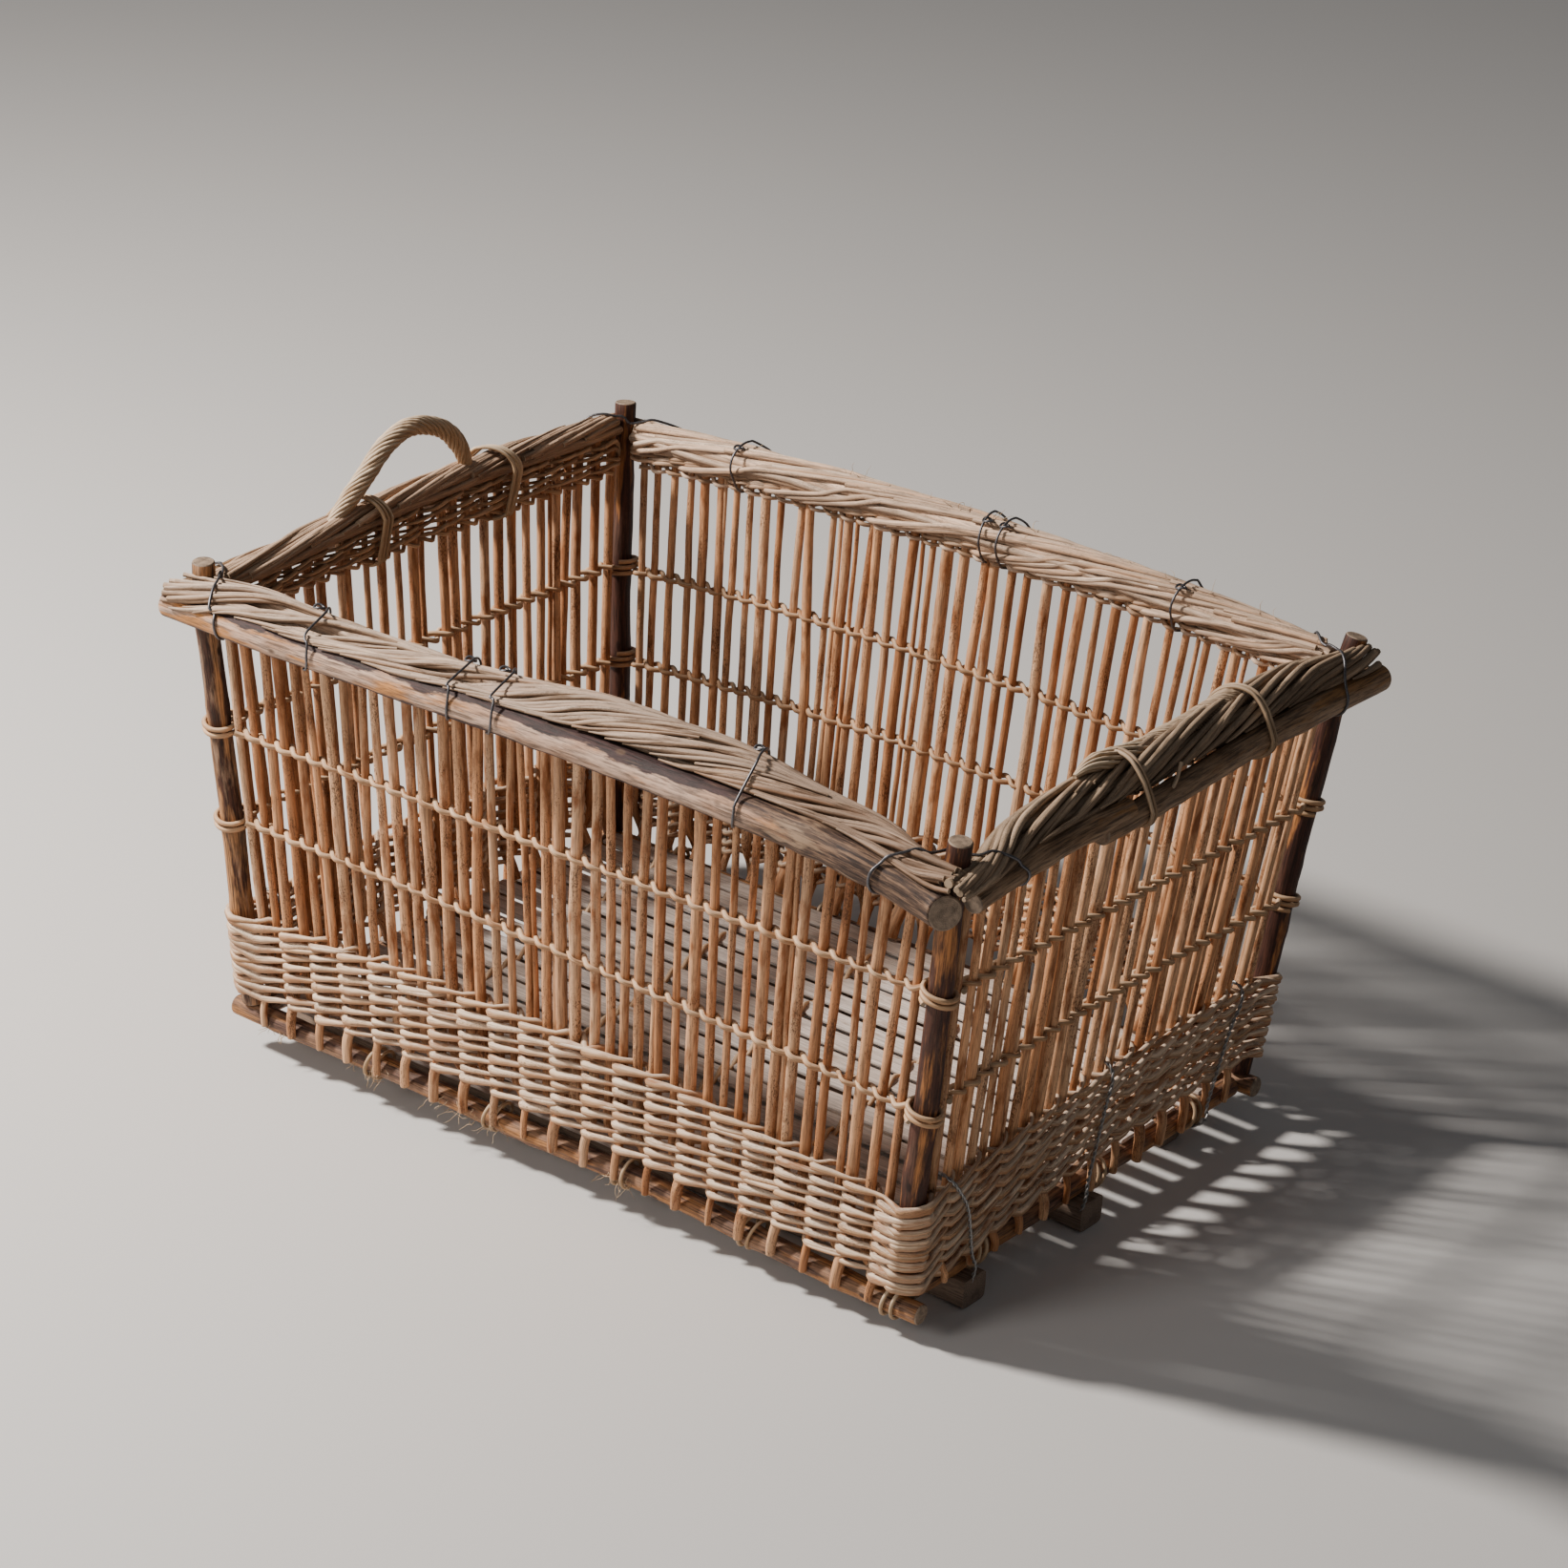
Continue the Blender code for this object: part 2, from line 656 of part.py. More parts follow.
def add_rim_ties():
    for side, shares in RIM_TIE_SHARES.items():
        for i, share in enumerate(shares):
            ring = rim_loop(side, gap_share(side, share), WIRE_RADIUS)
            loop = tube(ring, WIRE_RADIUS, 4, closed=True)
            add_object("rim_tie_" + side + "_" + str(i + 1), *loop, IRON, 0.5, 0.9)


def corner_half(side, end):
    """Half of a corner wire: from under the rim pole, over it and the border, to the post."""
    sign = 1 if end == "right" else -1
    z = border_height()
    full = along(side, z) - END_MARGIN
    clear = WIRE_RADIUS + 2 * EASE
    pole = rim_pole_height()
    around = RIM_POLE_RADIUS + clear
    points = []
    for turn_share, reach_share in CORNER_TIE_TURN_SHARES:
        angle = math.pi * turn_share
        u = along(side, z) - CORNER_TIE_REACH * reach_share
        lift = rise(u / full, RIM_RISE)
        v = RIM_POLE_OFFSET + around * math.cos(angle) / math.cos(math.pi / 8)
        points.append((u, v, pole + lift + around * math.sin(angle) / math.cos(math.pi / 8)))
    top = z + rise((along(side, z) - CORNER_TIE_REACH) / full, RIM_RISE) + BORDER_HALF_HEIGHT + clear
    over = BORDER_HALF_WIDTH * CORNER_TIE_ACROSS_SHARE
    points.append((along(side, z) - CORNER_TIE_REACH * CORNER_TIE_TOP_SHARE, over, top))
    inner = POST_RADIUS + clear + EASE
    points.append((along(side, z) - 2 * inner, -inner, top))
    return [place(side, sign * u, v, height) for u, v, height in points]


def add_corner_ties():
    corners = (
        ("front_right", "front", "right", "right", "left"),
        ("back_right", "right", "right", "back", "left"),
        ("back_left", "back", "right", "left", "left"),
        ("front_left", "left", "right", "front", "left"),
    )
    for name, side_a, end_a, side_b, end_b in corners:
        path = corner_half(side_a, end_a) + corner_half(side_b, end_b)[::-1]
        add_object("corner_tie_" + name, *tube(path, WIRE_RADIUS, 4), IRON, 0.5, 0.9)


def add_runner_ties():
    """Wires from inside each short wall, over its lower weave, down to the runners."""
    clear = WIRE_RADIUS + GAP
    for side, name_x in (("right", "right"), ("left", "left")):
        sign = 1 if side == "right" else -1
        for name_y, place_y in (("front", -1), ("middle", 0), ("back", 1)):
            edge = place_y * RUNNER_SPACING - RUNNER_WIDTH / 2 - clear
            z = LOWER_WEAVE_BOTTOM + LOWER_WEAVE_HEIGHT
            full = along(side, z) - END_MARGIN
            share = gap_share(side, sign * edge / full)
            top = z + rise(share, LOWER_WEAVE_RISE) + clear + EASE
            low = LOWER_WEAVE_BOTTOM + rise(share, LOWER_WEAVE_RISE)
            outer = WEAVE_HALF + clear
            points = [at_share(side, share, -outer, top - LOWER_WEAVE_HEIGHT / 4)]
            points.append(at_share(side, share, -outer, top))
            points.append(at_share(side, share, outer, top))
            points.append(at_share(side, share, outer, low))
            past = half_length(FLOOR_BOTTOM) + BASE_POLE_RADIUS + 2 * FOOT_RADIUS + clear
            points.append(Vector((sign * past, edge, FLOOR_BOTTOM)))
            points.append(Vector((sign * past, edge, RUNNER_HEIGHT)))
            length = HIDDEN_RUNNER_LENGTH if name_y == "back" else RUNNER_LENGTH
            end_x = length / 2 - 2 * clear
            points.append(Vector((sign * end_x, edge, RUNNER_TIE_HEIGHT)))
            add_object("runner_tie_" + name_y + "_" + name_x, *tube(points, WIRE_RADIUS, 4), IRON, 0.5, 0.9)


clear_scene()
add_runners()
add_base_poles()
add_posts()
add_floor()
add_walls()
add_pairs()
add_top_weave()
add_borders()
add_rim_poles()
add_handles()
add_rim_ties()
add_corner_ties()
add_runner_ties()
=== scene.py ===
# %% [markdown]
# A large openwork willow basket. On the real one every part is a rod of some kind: thin willow for the
# weaving, thicker willow for the stakes, poles with bark for the posts and the rim, and a little iron
# wire. So nearly everything here is one idea repeated: a path, a thickness along it, and one Geometry
# Nodes tree that turns paths into rods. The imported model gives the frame, and nothing in it is moved.

import math
import random

import bpy
import numpy as np
from mathutils import Matrix, Vector


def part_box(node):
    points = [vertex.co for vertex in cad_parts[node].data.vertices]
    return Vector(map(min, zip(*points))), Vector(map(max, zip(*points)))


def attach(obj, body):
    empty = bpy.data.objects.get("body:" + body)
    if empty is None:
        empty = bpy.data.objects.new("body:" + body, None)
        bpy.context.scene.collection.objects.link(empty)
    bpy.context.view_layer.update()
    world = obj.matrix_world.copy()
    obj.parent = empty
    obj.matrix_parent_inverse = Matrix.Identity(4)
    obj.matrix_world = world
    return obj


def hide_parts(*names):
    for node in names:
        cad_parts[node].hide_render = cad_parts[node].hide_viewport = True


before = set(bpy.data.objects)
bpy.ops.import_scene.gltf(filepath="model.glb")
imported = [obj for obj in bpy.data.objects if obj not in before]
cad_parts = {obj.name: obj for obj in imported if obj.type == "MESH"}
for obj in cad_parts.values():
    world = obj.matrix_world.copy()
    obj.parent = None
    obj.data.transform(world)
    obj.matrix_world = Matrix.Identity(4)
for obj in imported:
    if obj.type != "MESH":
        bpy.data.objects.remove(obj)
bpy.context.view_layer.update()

# %% [markdown]
# The camera comes first, because every later choice is judged through it. Its place, turn and focal
# length come from a fit of the basket's corners to the photograph. A long lens from about four and a
# half metres keeps the long sides almost parallel, and the small roll is the photographer's.

# %% Place the camera
IMAGE_PIXELS = 1643
FOCAL_PIXELS = 4847.5
CAMERA_PLACE = Vector((2.7032, -3.7095, 2.4410))
YAW, PITCH, ROLL = (math.radians(angle) for angle in (35.79, 24.29, 3.88))


def camera_turn(yaw, pitch, roll):
    """The camera's axes in the basket's frame, as the columns of a matrix."""
    forward = Vector((-math.sin(yaw) * math.cos(pitch), math.cos(yaw) * math.cos(pitch), -math.sin(pitch)))
    level = Vector((math.cos(yaw), math.sin(yaw), 0))
    upward = level.cross(forward)
    right = level * math.cos(roll) + upward * math.sin(roll)
    up = upward * math.cos(roll) - level * math.sin(roll)
    return Matrix((right, up, -forward)).transposed()


lens = bpy.data.cameras.new("camera")
lens.sensor_width = 36
lens.lens = FOCAL_PIXELS / IMAGE_PIXELS * lens.sensor_width
lens.clip_end = 60
camera = bpy.data.objects.new("camera", lens)
camera.matrix_world = Matrix.Translation(CAMERA_PLACE) @ camera_turn(YAW, PITCH, ROLL).to_4x4()
bpy.context.scene.collection.objects.link(camera)
bpy.context.scene.camera = camera
print("focal length", round(lens.lens, 1), "mm")

# %% [markdown]
# The basket is a frustum: four corner posts lean outwards, and the stakes fill the planes between
# them. Two small functions give half the length and half the width at any height, and everything is
# placed by the side it is on, how far along it lies, how far outside the stakes and how high.

# %% Describe the four leaning sides
BASE_HEIGHT = 0.0463
POST_TOP = 0.587
POST_RADIUS = 0.0128
STAKE_MARGIN = 0.0293
SIDES = ("front", "right", "back", "left")
STAKES = {"front": 41, "right": 27, "back": 41, "left": 27}


def half_length(z):
    return 0.448 + 0.052 * (z - BASE_HEIGHT) / (POST_TOP - BASE_HEIGHT)


def half_width(z):
    return 0.318 + 0.0425 * (z - BASE_HEIGHT) / (POST_TOP - BASE_HEIGHT)


def reach(side, z):
    """Half the way between the two posts of a side."""
    return half_length(z) if side in ("front", "back") else half_width(z)


def stake_reach(side, z):
    """Half the way between the last stakes of a side."""
    return reach(side, z) - STAKE_MARGIN


def place(side, u, v, z):
    """u metres to the right as seen from outside, v metres outside the stakes, z metres up."""
    if side == "front":
        return (u, -half_width(z) - v, z)
    if side == "back":
        return (-u, half_width(z) + v, z)
    if side == "right":
        return (half_length(z) + v, u, z)
    return (-half_length(z) - v, -u, z)


def share_place(side, share, v, z):
    """The same, with the last stakes at -1 and 1."""
    return place(side, share * stake_reach(side, z), v, z)


def stake_share(side, index):
    return -1 + 2 * index / (STAKES[side] - 1)


print("stakes on the four sides:", STAKES)

# %% [markdown]
# Nothing on the basket is level. Each long line, such as the border or a paired row, is given by three
# heights for each side: at its left end, in its middle and at its right end, as seen from outside. A
# smooth arch through the three serves every piece that follows that line, so neighbours stay together.
# The front border is too uneven for an arch: it sags twice and rises to the right of its middle. It gets
# a table of places and heights, and of its three heights only the middle one counts, as the side's level.

# %% Write down the heights of the long lines
BORDER_LINE = {
    "front": (0.5470, 0.5780, 0.5620),
    "right": (0.5480, 0.5670, 0.5640),
    "back": (0.5600, 0.5735, 0.5540),
    "left": (0.5640, 0.5700, 0.5500),
}
FRONT_BORDER = (
    (-0.52, 0.5560), (-0.42, 0.5590), (-0.36, 0.5565), (-0.30, 0.5545), (-0.18, 0.5570),
    (-0.055, 0.5650), (0.0, 0.5735), (0.07, 0.5830), (0.2, 0.5830), (0.257, 0.5790),
    (0.32, 0.5680), (0.39, 0.5590), (0.45, 0.5540), (0.52, 0.5490),
)
WEAVE_LINE = {
    "front": (0.5200, 0.5400, 0.5250),
    "right": (0.5200, 0.5380, 0.5250),
    "back": (0.5260, 0.5425, 0.5190),
    "left": (0.5100, 0.5145, 0.5135),
}
UPPER_PAIR_LINE = {
    "front": (0.3950, 0.4030, 0.4100),
    "right": (0.4050, 0.4000, 0.3904),
    "back": (0.3890, 0.4080, 0.3900),
    "left": (0.3950, 0.3945, 0.3950),
}
LOWER_PAIR_LINE = {
    "front": (0.2880, 0.2855, 0.2700),
    "right": (0.2740, 0.2860, 0.2745),
    "back": (0.2770, 0.2960, 0.2770),
    "left": (0.2770, 0.2850, 0.2830),
}
BAND_BOTTOM = {
    "front": (0.0750, 0.0805, 0.0585),
    "right": (0.0520, 0.0824, 0.0850),
    "back": (0.0720, 0.0840, 0.0720),
    "left": (0.0720, 0.0840, 0.0750),
}
BAND_TOP = {
    "front": (0.1727, 0.1931, 0.1610),
    "right": (0.1690, 0.1939, 0.1900),
    "back": (0.1760, 0.1900, 0.1730),
    "left": (0.1720, 0.1880, 0.1727),
}
print("a line has three heights on each side, such as", BORDER_LINE["right"])

# %% [markdown]
# Two functions read the tables. One draws a smooth curve through any number of heights. The other gives the
# height of a line at one place of a side, where -1 is its first stake and 1 its last.

# %% Read a height anywhere along a line
def through(places, u):
    """A smooth curve through a few heights, by the same rule that draws the rods."""
    us, heights = zip(*places)
    u = min(max(u, us[0]), us[-1])
    k = min(max(i for i, at in enumerate(us) if at <= u), len(us) - 2)
    before = heights[k - 1] if k else 2 * heights[0] - heights[1]
    after = heights[k + 2] if k + 2 < len(us) else 2 * heights[-1] - heights[-2]
    t = (u - us[k]) / (us[k + 1] - us[k])
    p1, p2 = heights[k], heights[k + 1]
    return 0.5 * (
        2 * p1 + (p2 - before) * t + (2 * before - 5 * p1 + 4 * p2 - after) * t**2
        + (3 * p1 - before - 3 * p2 + after) * t**3
    )


def arch(line, side, share):
    """The height of a line at one place of a side."""
    left, middle, right = line[side]
    share = min(max(share, -1.1), 1.1)
    if line is BORDER_LINE and side == "front":
        return through(FRONT_BORDER, share * stake_reach(side, middle))
    return middle + (right - left) / 2 * share + ((right + left) / 2 - middle) * share**2


def rim_reach(side):
    """Half the way between the posts at the height of the border."""
    return reach(side, BORDER_LINE[side][1])


print("half the length and width of the rim:", [round(rim_reach(side), 4) for side in ("front", "right")])

# %% [markdown]
# The rim poles were cut from crooked wood, and the right one is two pieces end to end. Each is written down
# as how far outside the stakes it lies, its radius at both ends, and its height at some places along.
# Border, wires and lashings ask the same function where the pole is, so that they lie on it. The front
# base pole also bends down towards its right end, and its feet and ties follow it.

# %% Say where the poles run
RIM_POLES = {
    "front": [
        (0.0333, 0.0160, 0.0188, (-0.518, 0.5405), (-0.378, 0.5415), (-0.18, 0.5475), (0.0, 0.5520),
         (0.2, 0.5525), (0.35, 0.5490), (0.44, 0.5385), (0.5125, 0.5225)),
    ],
    "right": [
        (0.0290, 0.0118, 0.0130, (-0.368, 0.5305), (-0.28, 0.5400), (-0.19, 0.5440), (-0.1, 0.5420)),
        (0.0315, 0.0130, 0.0155, (-0.15, 0.5330), (0.0, 0.5365), (0.13, 0.5425), (0.28, 0.5420),
         (0.385, 0.5405)),
    ],
    "back": [
        (0.0333, 0.0160, 0.0165, (-0.505, 0.5330), (-0.25, 0.5470), (0.0, 0.5520), (0.3, 0.5480),
         (0.53, 0.5340)),
    ],
    "left": [(0.0333, 0.0160, 0.0160, (-0.372, 0.5340), (0.0, 0.5440), (0.372, 0.5340))],
}


def places_end(pieces):
    """Where the first piece of a pole stops."""
    return pieces[0][-1][0] - 0.02


def rim_pole_at(side, u, piece=None):
    """The middle and the radius of the rim pole at one place: outwards, height, radius."""
    pieces = RIM_POLES[side]
    if piece is None:
        piece = 0 if u < places_end(pieces) else -1
    v, thick0, thick1, *places = pieces[piece]
    first, last = places[0][0], places[-1][0]
    share = min(max((u - first) / (last - first), 0), 1)
    wobble = 0.0010 * math.sin(17 * u + 2) + 0.0007 * math.sin(41 * u + len(side))
    end = max(0, (u - last + 0.016) / 0.016) if side == "front" else 0
    radius = thick0 + (thick1 - thick0) * share
    return v + wobble + 0.0050 * end * end, through(places, u) + 0.7 * wobble + 0.0026 * end * end, radius


def base_drop(side, share):
    """The front base pole bends down towards its right end."""
    return 0.0145 * min(max((share - 0.2) / 0.85, 0), 1) if side == "front" else 0.0


print("pieces in each rim pole:", {side: len(pieces) for side, pieces in RIM_POLES.items()})

# %% [markdown]
# Geometry Nodes do in the script what a maker does by hand: one rule, repeated. A tree is easier to read
# when each node is one line, so a few small helpers come first. The main one adds a node, sets its
# choices and joins its inputs, and a value or another node's output can be given for any input.

# %% Write helpers for node trees
def new_tree(name, sockets):
    """An empty Geometry Nodes tree with named inputs."""
    tree = bpy.data.node_groups.new(name, "GeometryNodeTree")
    tree.interface.new_socket("Geometry", in_out="INPUT", socket_type="NodeSocketGeometry")
    for label, kind, value in sockets:
        socket = tree.interface.new_socket(label, in_out="INPUT", socket_type=kind)
        if value is not None:
            socket.default_value = value
    tree.interface.new_socket("Geometry", in_out="OUTPUT", socket_type="NodeSocketGeometry")
    return tree


def add_node(tree, kind, settings=None, **inputs):
    """A node with its settings and its inputs: an input is a value or another node's output."""
    made = tree.nodes.new(kind)
    for key, value in (settings or {}).items():
        setattr(made, key, value)
    for label, value in inputs.items():
        key = int(label[1:]) if label[0] == "_" else label.replace("_", " ")
        if isinstance(value, bpy.types.NodeSocket):
            tree.links.new(value, made.inputs[key])
        else:
            made.inputs[key].default_value = value
    return made


def read(tree, kind, output=0):
    """One output of a node that has no input."""
    return tree.nodes.new(kind).outputs[output]


def store(tree, geometry, name, kind, domain, value):
    settings = {"data_type": kind, "domain": domain}
    inputs = {"Geometry": geometry, "Name": name, "Value": value}
    return add_node(tree, "GeometryNodeStoreNamedAttribute", settings, **inputs).outputs[0]


def named(tree, name, kind):
    return add_node(tree, "GeometryNodeInputNamedAttribute", {"data_type": kind}, Name=name).outputs[0]


def arithmetic(tree, operation, first, second=0.0, third=0.0):
    inputs = {"_0": first, "_1": second}
    if operation == "MULTIPLY_ADD":
        inputs["_2"] = third
    return add_node(tree, "ShaderNodeMath", {"operation": operation}, **inputs).outputs[0]


print("node trees are built in Blender", bpy.app.version_string)

# %% [markdown]
# Rods and flat strips are both sweeps: a path is smoothed, labelled, given a section and finished. What
# the two share is written once. Each path gets a random number, "rod", and its points know how far along
# they are. The section is a circle that remembers where its points were, which the bark pattern needs.

# %% Write the steps that all sweeps share
def smooth_paths(tree, given):
    """The given paths as smooth curves of many points."""
    settings = {"spline_type": "CATMULL_ROM"}
    curve = add_node(tree, "GeometryNodeCurveSplineType", settings, Curve=given["Geometry"]).outputs[0]
    fine = {"Geometry": curve, "Resolution": given["Smoothness"]}
    curve = add_node(tree, "GeometryNodeSetSplineResolution", **fine).outputs[0]
    return add_node(tree, "GeometryNodeResampleCurve", {"mode": "EVALUATED"}, Curve=curve).outputs[0]


def label_paths(tree, curve, seed):
    """Stores a random number for each path, and at each point the distance along."""
    index = read(tree, "GeometryNodeInputIndex")
    dice = add_node(tree, "FunctionNodeRandomValue", {"data_type": "FLOAT"}, ID=index, Seed=seed).outputs[1]
    curve = store(tree, curve, "rod", "FLOAT", "CURVE", dice)
    return store(tree, curve, "along", "FLOAT", "POINT", read(tree, "GeometryNodeSplineParameter", "Length"))


def sweep(tree, curve, sides, scale):
    """The mesh of a circle swept along the paths, and the circle's own coordinates on it."""
    ring = add_node(tree, "GeometryNodeCurvePrimitiveCircle", Resolution=sides, Radius=1.0).outputs[0]
    ring = store(tree, ring, "round", "FLOAT_VECTOR", "POINT", read(tree, "GeometryNodeInputPosition"))
    inputs = {"Curve": curve, "Profile_Curve": ring, "Scale": scale, "Fill_Caps": True}
    mesh = add_node(tree, "GeometryNodeCurveToMesh", **inputs).outputs[0]
    split = add_node(tree, "ShaderNodeSeparateXYZ", Vector=named(tree, "round", "FLOAT_VECTOR")).outputs
    return mesh, split


def store_bark(tree, mesh, x, y):
    """Stores the place on the straightened rod, with a jump from each rod to the next."""
    jump = arithmetic(tree, "MULTIPLY_ADD", named(tree, "rod", "FLOAT"), 61.0, named(tree, "along", "FLOAT"))
    bark = add_node(tree, "ShaderNodeCombineXYZ", X=x, Y=y, Z=jump).outputs[0]
    return store(tree, mesh, "bark", "FLOAT_VECTOR", "POINT", bark)


def end_tree(tree, mesh, smooth, finish):
    """Shades, realizes and dresses the mesh, and joins it to the output."""
    inputs = {"Geometry": mesh, "Shade_Smooth": smooth}
    mesh = add_node(tree, "GeometryNodeSetShadeSmooth", {"domain": "FACE"}, **inputs).outputs[0]
    mesh = add_node(tree, "GeometryNodeRealizeInstances", Geometry=mesh).outputs[0]
    mesh = add_node(tree, "GeometryNodeSetMaterial", Geometry=mesh, Material=finish).outputs[0]
    tree.links.new(mesh, tree.nodes.new("NodeGroupOutput").inputs[0])
    return tree


print("shared steps:", [step.__name__ for step in (smooth_paths, label_paths, sweep, store_bark, end_tree)])

# %% [markdown]
# A finish needs to know where it is on its rod: bark runs along it, and each rod has a tone of its own.
# So the tree stores three more things on the mesh. "bark" is the place on the rod as if it were
# straightened, "cut" is the distance from the nearer end, which is nought on the sawn faces, and "up"
# tells whether the skin looks up or down, which the finishes use for weather bleaching and bark streaks on
# top and for painted shade on the sides and undersides. Noise makes each rod thicker and thinner along its
# way, since no willow is an even cylinder.

# %% Build the tree that turns paths into rods
def rods_tree():
    sockets = (
        ("Sides", "NodeSocketInt", 8),
        ("Smoothness", "NodeSocketInt", 3),
        ("Lumps", "NodeSocketFloat", 0.05),
        ("Lump size", "NodeSocketFloat", 0.03),
        ("Seed", "NodeSocketInt", 1),
        ("Finish", "NodeSocketMaterial", None),
    )
    tree = new_tree("Rods along paths", sockets)
    given = tree.nodes.new("NodeGroupInput").outputs
    curve = smooth_paths(tree, given)
    lumps = {
        "Vector": read(tree, "GeometryNodeInputPosition"),
        "W": arithmetic(tree, "MULTIPLY", given["Seed"], 3.7),
        "Scale": arithmetic(tree, "DIVIDE", 1.0, given["Lump size"]),
    }
    noise = add_node(tree, "ShaderNodeTexNoise", {"noise_dimensions": "4D"}, Detail=2.0, **lumps).outputs[0]
    swing = arithmetic(tree, "MULTIPLY_ADD", noise, 2.0, -1.0)
    swell = arithmetic(tree, "MULTIPLY_ADD", swing, given["Lumps"], 1.0)
    radius = arithmetic(tree, "MULTIPLY", read(tree, "GeometryNodeInputRadius"), swell)
    curve = add_node(tree, "GeometryNodeSetCurveRadius", Curve=curve, Radius=radius).outputs[0]
    curve = label_paths(tree, curve, given["Seed"])
    along = read(tree, "GeometryNodeSplineParameter", "Length")
    rest = arithmetic(tree, "SUBTRACT", read(tree, "GeometryNodeSplineLength", "Length"), along)
    closed = read(tree, "GeometryNodeInputSplineCyclic")
    cut = arithmetic(tree, "ADD", arithmetic(tree, "MINIMUM", along, rest), closed)
    curve = store(tree, curve, "cut", "FLOAT", "POINT", cut)
    mesh, split = sweep(tree, curve, given["Sides"], read(tree, "GeometryNodeInputRadius"))
    mesh = store_bark(tree, mesh, *(arithmetic(tree, "MULTIPLY", split[i], 0.006) for i in (0, 1)))
    upward = add_node(tree, "ShaderNodeSeparateXYZ", Vector=read(tree, "GeometryNodeInputNormal")).outputs[2]
    mesh = store(tree, mesh, "up", "FLOAT", "POINT", upward)
    side_face = arithmetic(tree, "GREATER_THAN", named(tree, "cut", "FLOAT"), 0.0001)
    return end_tree(tree, mesh, side_face, given["Finish"])


RODS = rods_tree()
print("the rods tree has", len(RODS.nodes), "nodes")

# %% [markdown]
# A family of rods becomes one piece: its paths go into a curve, the tree is put on it, and the result is
# taken as a plain mesh. The piece then rides on the basket's one body and stands for the CAD nodes that
# it shows in more detail.

# %% Turn a family of paths into a finished piece
def run_tree(source, tree, values, name):
    """The mesh that a tree makes of an object, as a new object."""
    modifier = source.modifiers.new(tree.name, "NODES")
    modifier.node_group = tree
    for item in tree.interface.items_tree:
        if item.in_out == "INPUT" and item.name in values:
            modifier[item.identifier] = values[item.name]
    bpy.context.scene.collection.objects.link(source)
    graph = bpy.context.evaluated_depsgraph_get()
    shown = source.evaluated_get(graph)
    mesh = bpy.data.meshes.new_from_object(shown, preserve_all_data_layers=True, depsgraph=graph)
    mesh.name = name
    data = source.data
    bpy.data.objects.remove(source)
    if isinstance(data, bpy.types.Curve):
        bpy.data.curves.remove(data)
    piece = bpy.data.objects.new(name, mesh)
    bpy.context.scene.collection.objects.link(piece)
    return piece


def settle(piece, slot, *replaced):
    """Puts a finished piece on the basket's body, in the place of its CAD nodes."""
    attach(piece, "root")
    if replaced:
        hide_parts(*replaced)
    faces = sum(len(face.vertices) - 2 for face in piece.data.polygons)
    print(piece.name, "has", faces, "triangles")
    return piece


print("pieces ride on the root body and take the place of some of", len(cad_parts), "nodes")

# %% [markdown]
# Paths are drawn with few points. One helper spreads points evenly on a smooth curve through them, for ropes
# and borders whose thickness changes along the way. Another hands a whole family of paths to the tree.

# %% Draw the paths
def smooth_path(points, count):
    """Even points on a smooth curve through a few."""
    points = np.array(points, float)
    padded = np.vstack([2 * points[0] - points[1], points, 2 * points[-1] - points[-2]])
    fine = []
    for i in range(1, len(padded) - 2):
        for t in np.linspace(0, 1, 24, endpoint=False):
            p0, p1, p2, p3 = padded[i - 1 : i + 3]
            fine.append(0.5 * (
                2 * p1 + (p2 - p0) * t + (2 * p0 - 5 * p1 + 4 * p2 - p3) * t**2
                + (3 * p1 - p0 - 3 * p2 + p3) * t**3
            ))
    fine = np.array([*fine, points[-1]])
    steps = np.r_[0, np.cumsum(np.linalg.norm(np.diff(fine, axis=0), axis=1))]
    wanted = np.linspace(0, steps[-1], count)
    return np.array([[np.interp(w, steps, fine[:, k]) for k in range(3)] for w in wanted]), steps[-1]


def paths_object(name, lines):
    """A curve of many paths. A line is (points, widths) or (points, widths, True) for a closed loop."""
    curve = bpy.data.curves.new(name, "CURVE")
    curve.dimensions = "3D"
    for points, widths, *closed in lines:
        spline = curve.splines.new("POLY")
        spline.points.add(len(points) - 1)
        spline.points.foreach_set("co", np.c_[np.array(points, float), np.ones(len(points))].ravel())
        spline.points.foreach_set("radius", np.broadcast_to(widths, len(points)).astype(float))
        spline.use_cyclic_u = bool(closed)
    return bpy.data.objects.new(name + "_paths", curve)


def make_rods(name, rods, finish, sides=8, smoothness=3, lumps=0.05, lump_size=0.03, seed=1):
    """One mesh of many rods. A rod is (points, radii) or (points, radii, True) for a closed loop."""
    values = {"Sides": sides, "Smoothness": smoothness, "Lumps": lumps, "Lump size": lump_size, "Seed": seed}
    values["Finish"] = finish
    return run_tree(paths_object(name, rods), RODS, values, name)


_, straight = smooth_path([(0, 0, 0), (0, 0, 1)], 5)
print("a straight path of one metre measures", round(float(straight), 4))

# %% [markdown]
# A finish is a node tree too, and its helpers are the same kind. A ramp turns a number into a tone, a mask
# decides where one tone gives way to another, and noise stretched along the rod makes grain.

# %% Write helpers for finishes
def ramp(tree, factor, stops):
    made = add_node(tree, "ShaderNodeValToRGB", Fac=factor)
    elements = made.color_ramp.elements
    while len(elements) < len(stops):
        elements.new(0.5)
    for element, (position, colour) in zip(elements, stops):
        element.position = position
        element.color = (*colour, 1)
    return made.outputs[0]


def grey(level):
    return (level, level, level)


def scaled(tone, by):
    return tuple(by * part for part in tone)


def attribute(tree, name, output="Fac"):
    return add_node(tree, "ShaderNodeAttribute", {"attribute_name": name}).outputs[output]


def stretched(tree, vector, scale):
    return add_node(tree, "ShaderNodeMapping", Vector=vector, Scale=scale).outputs[0]


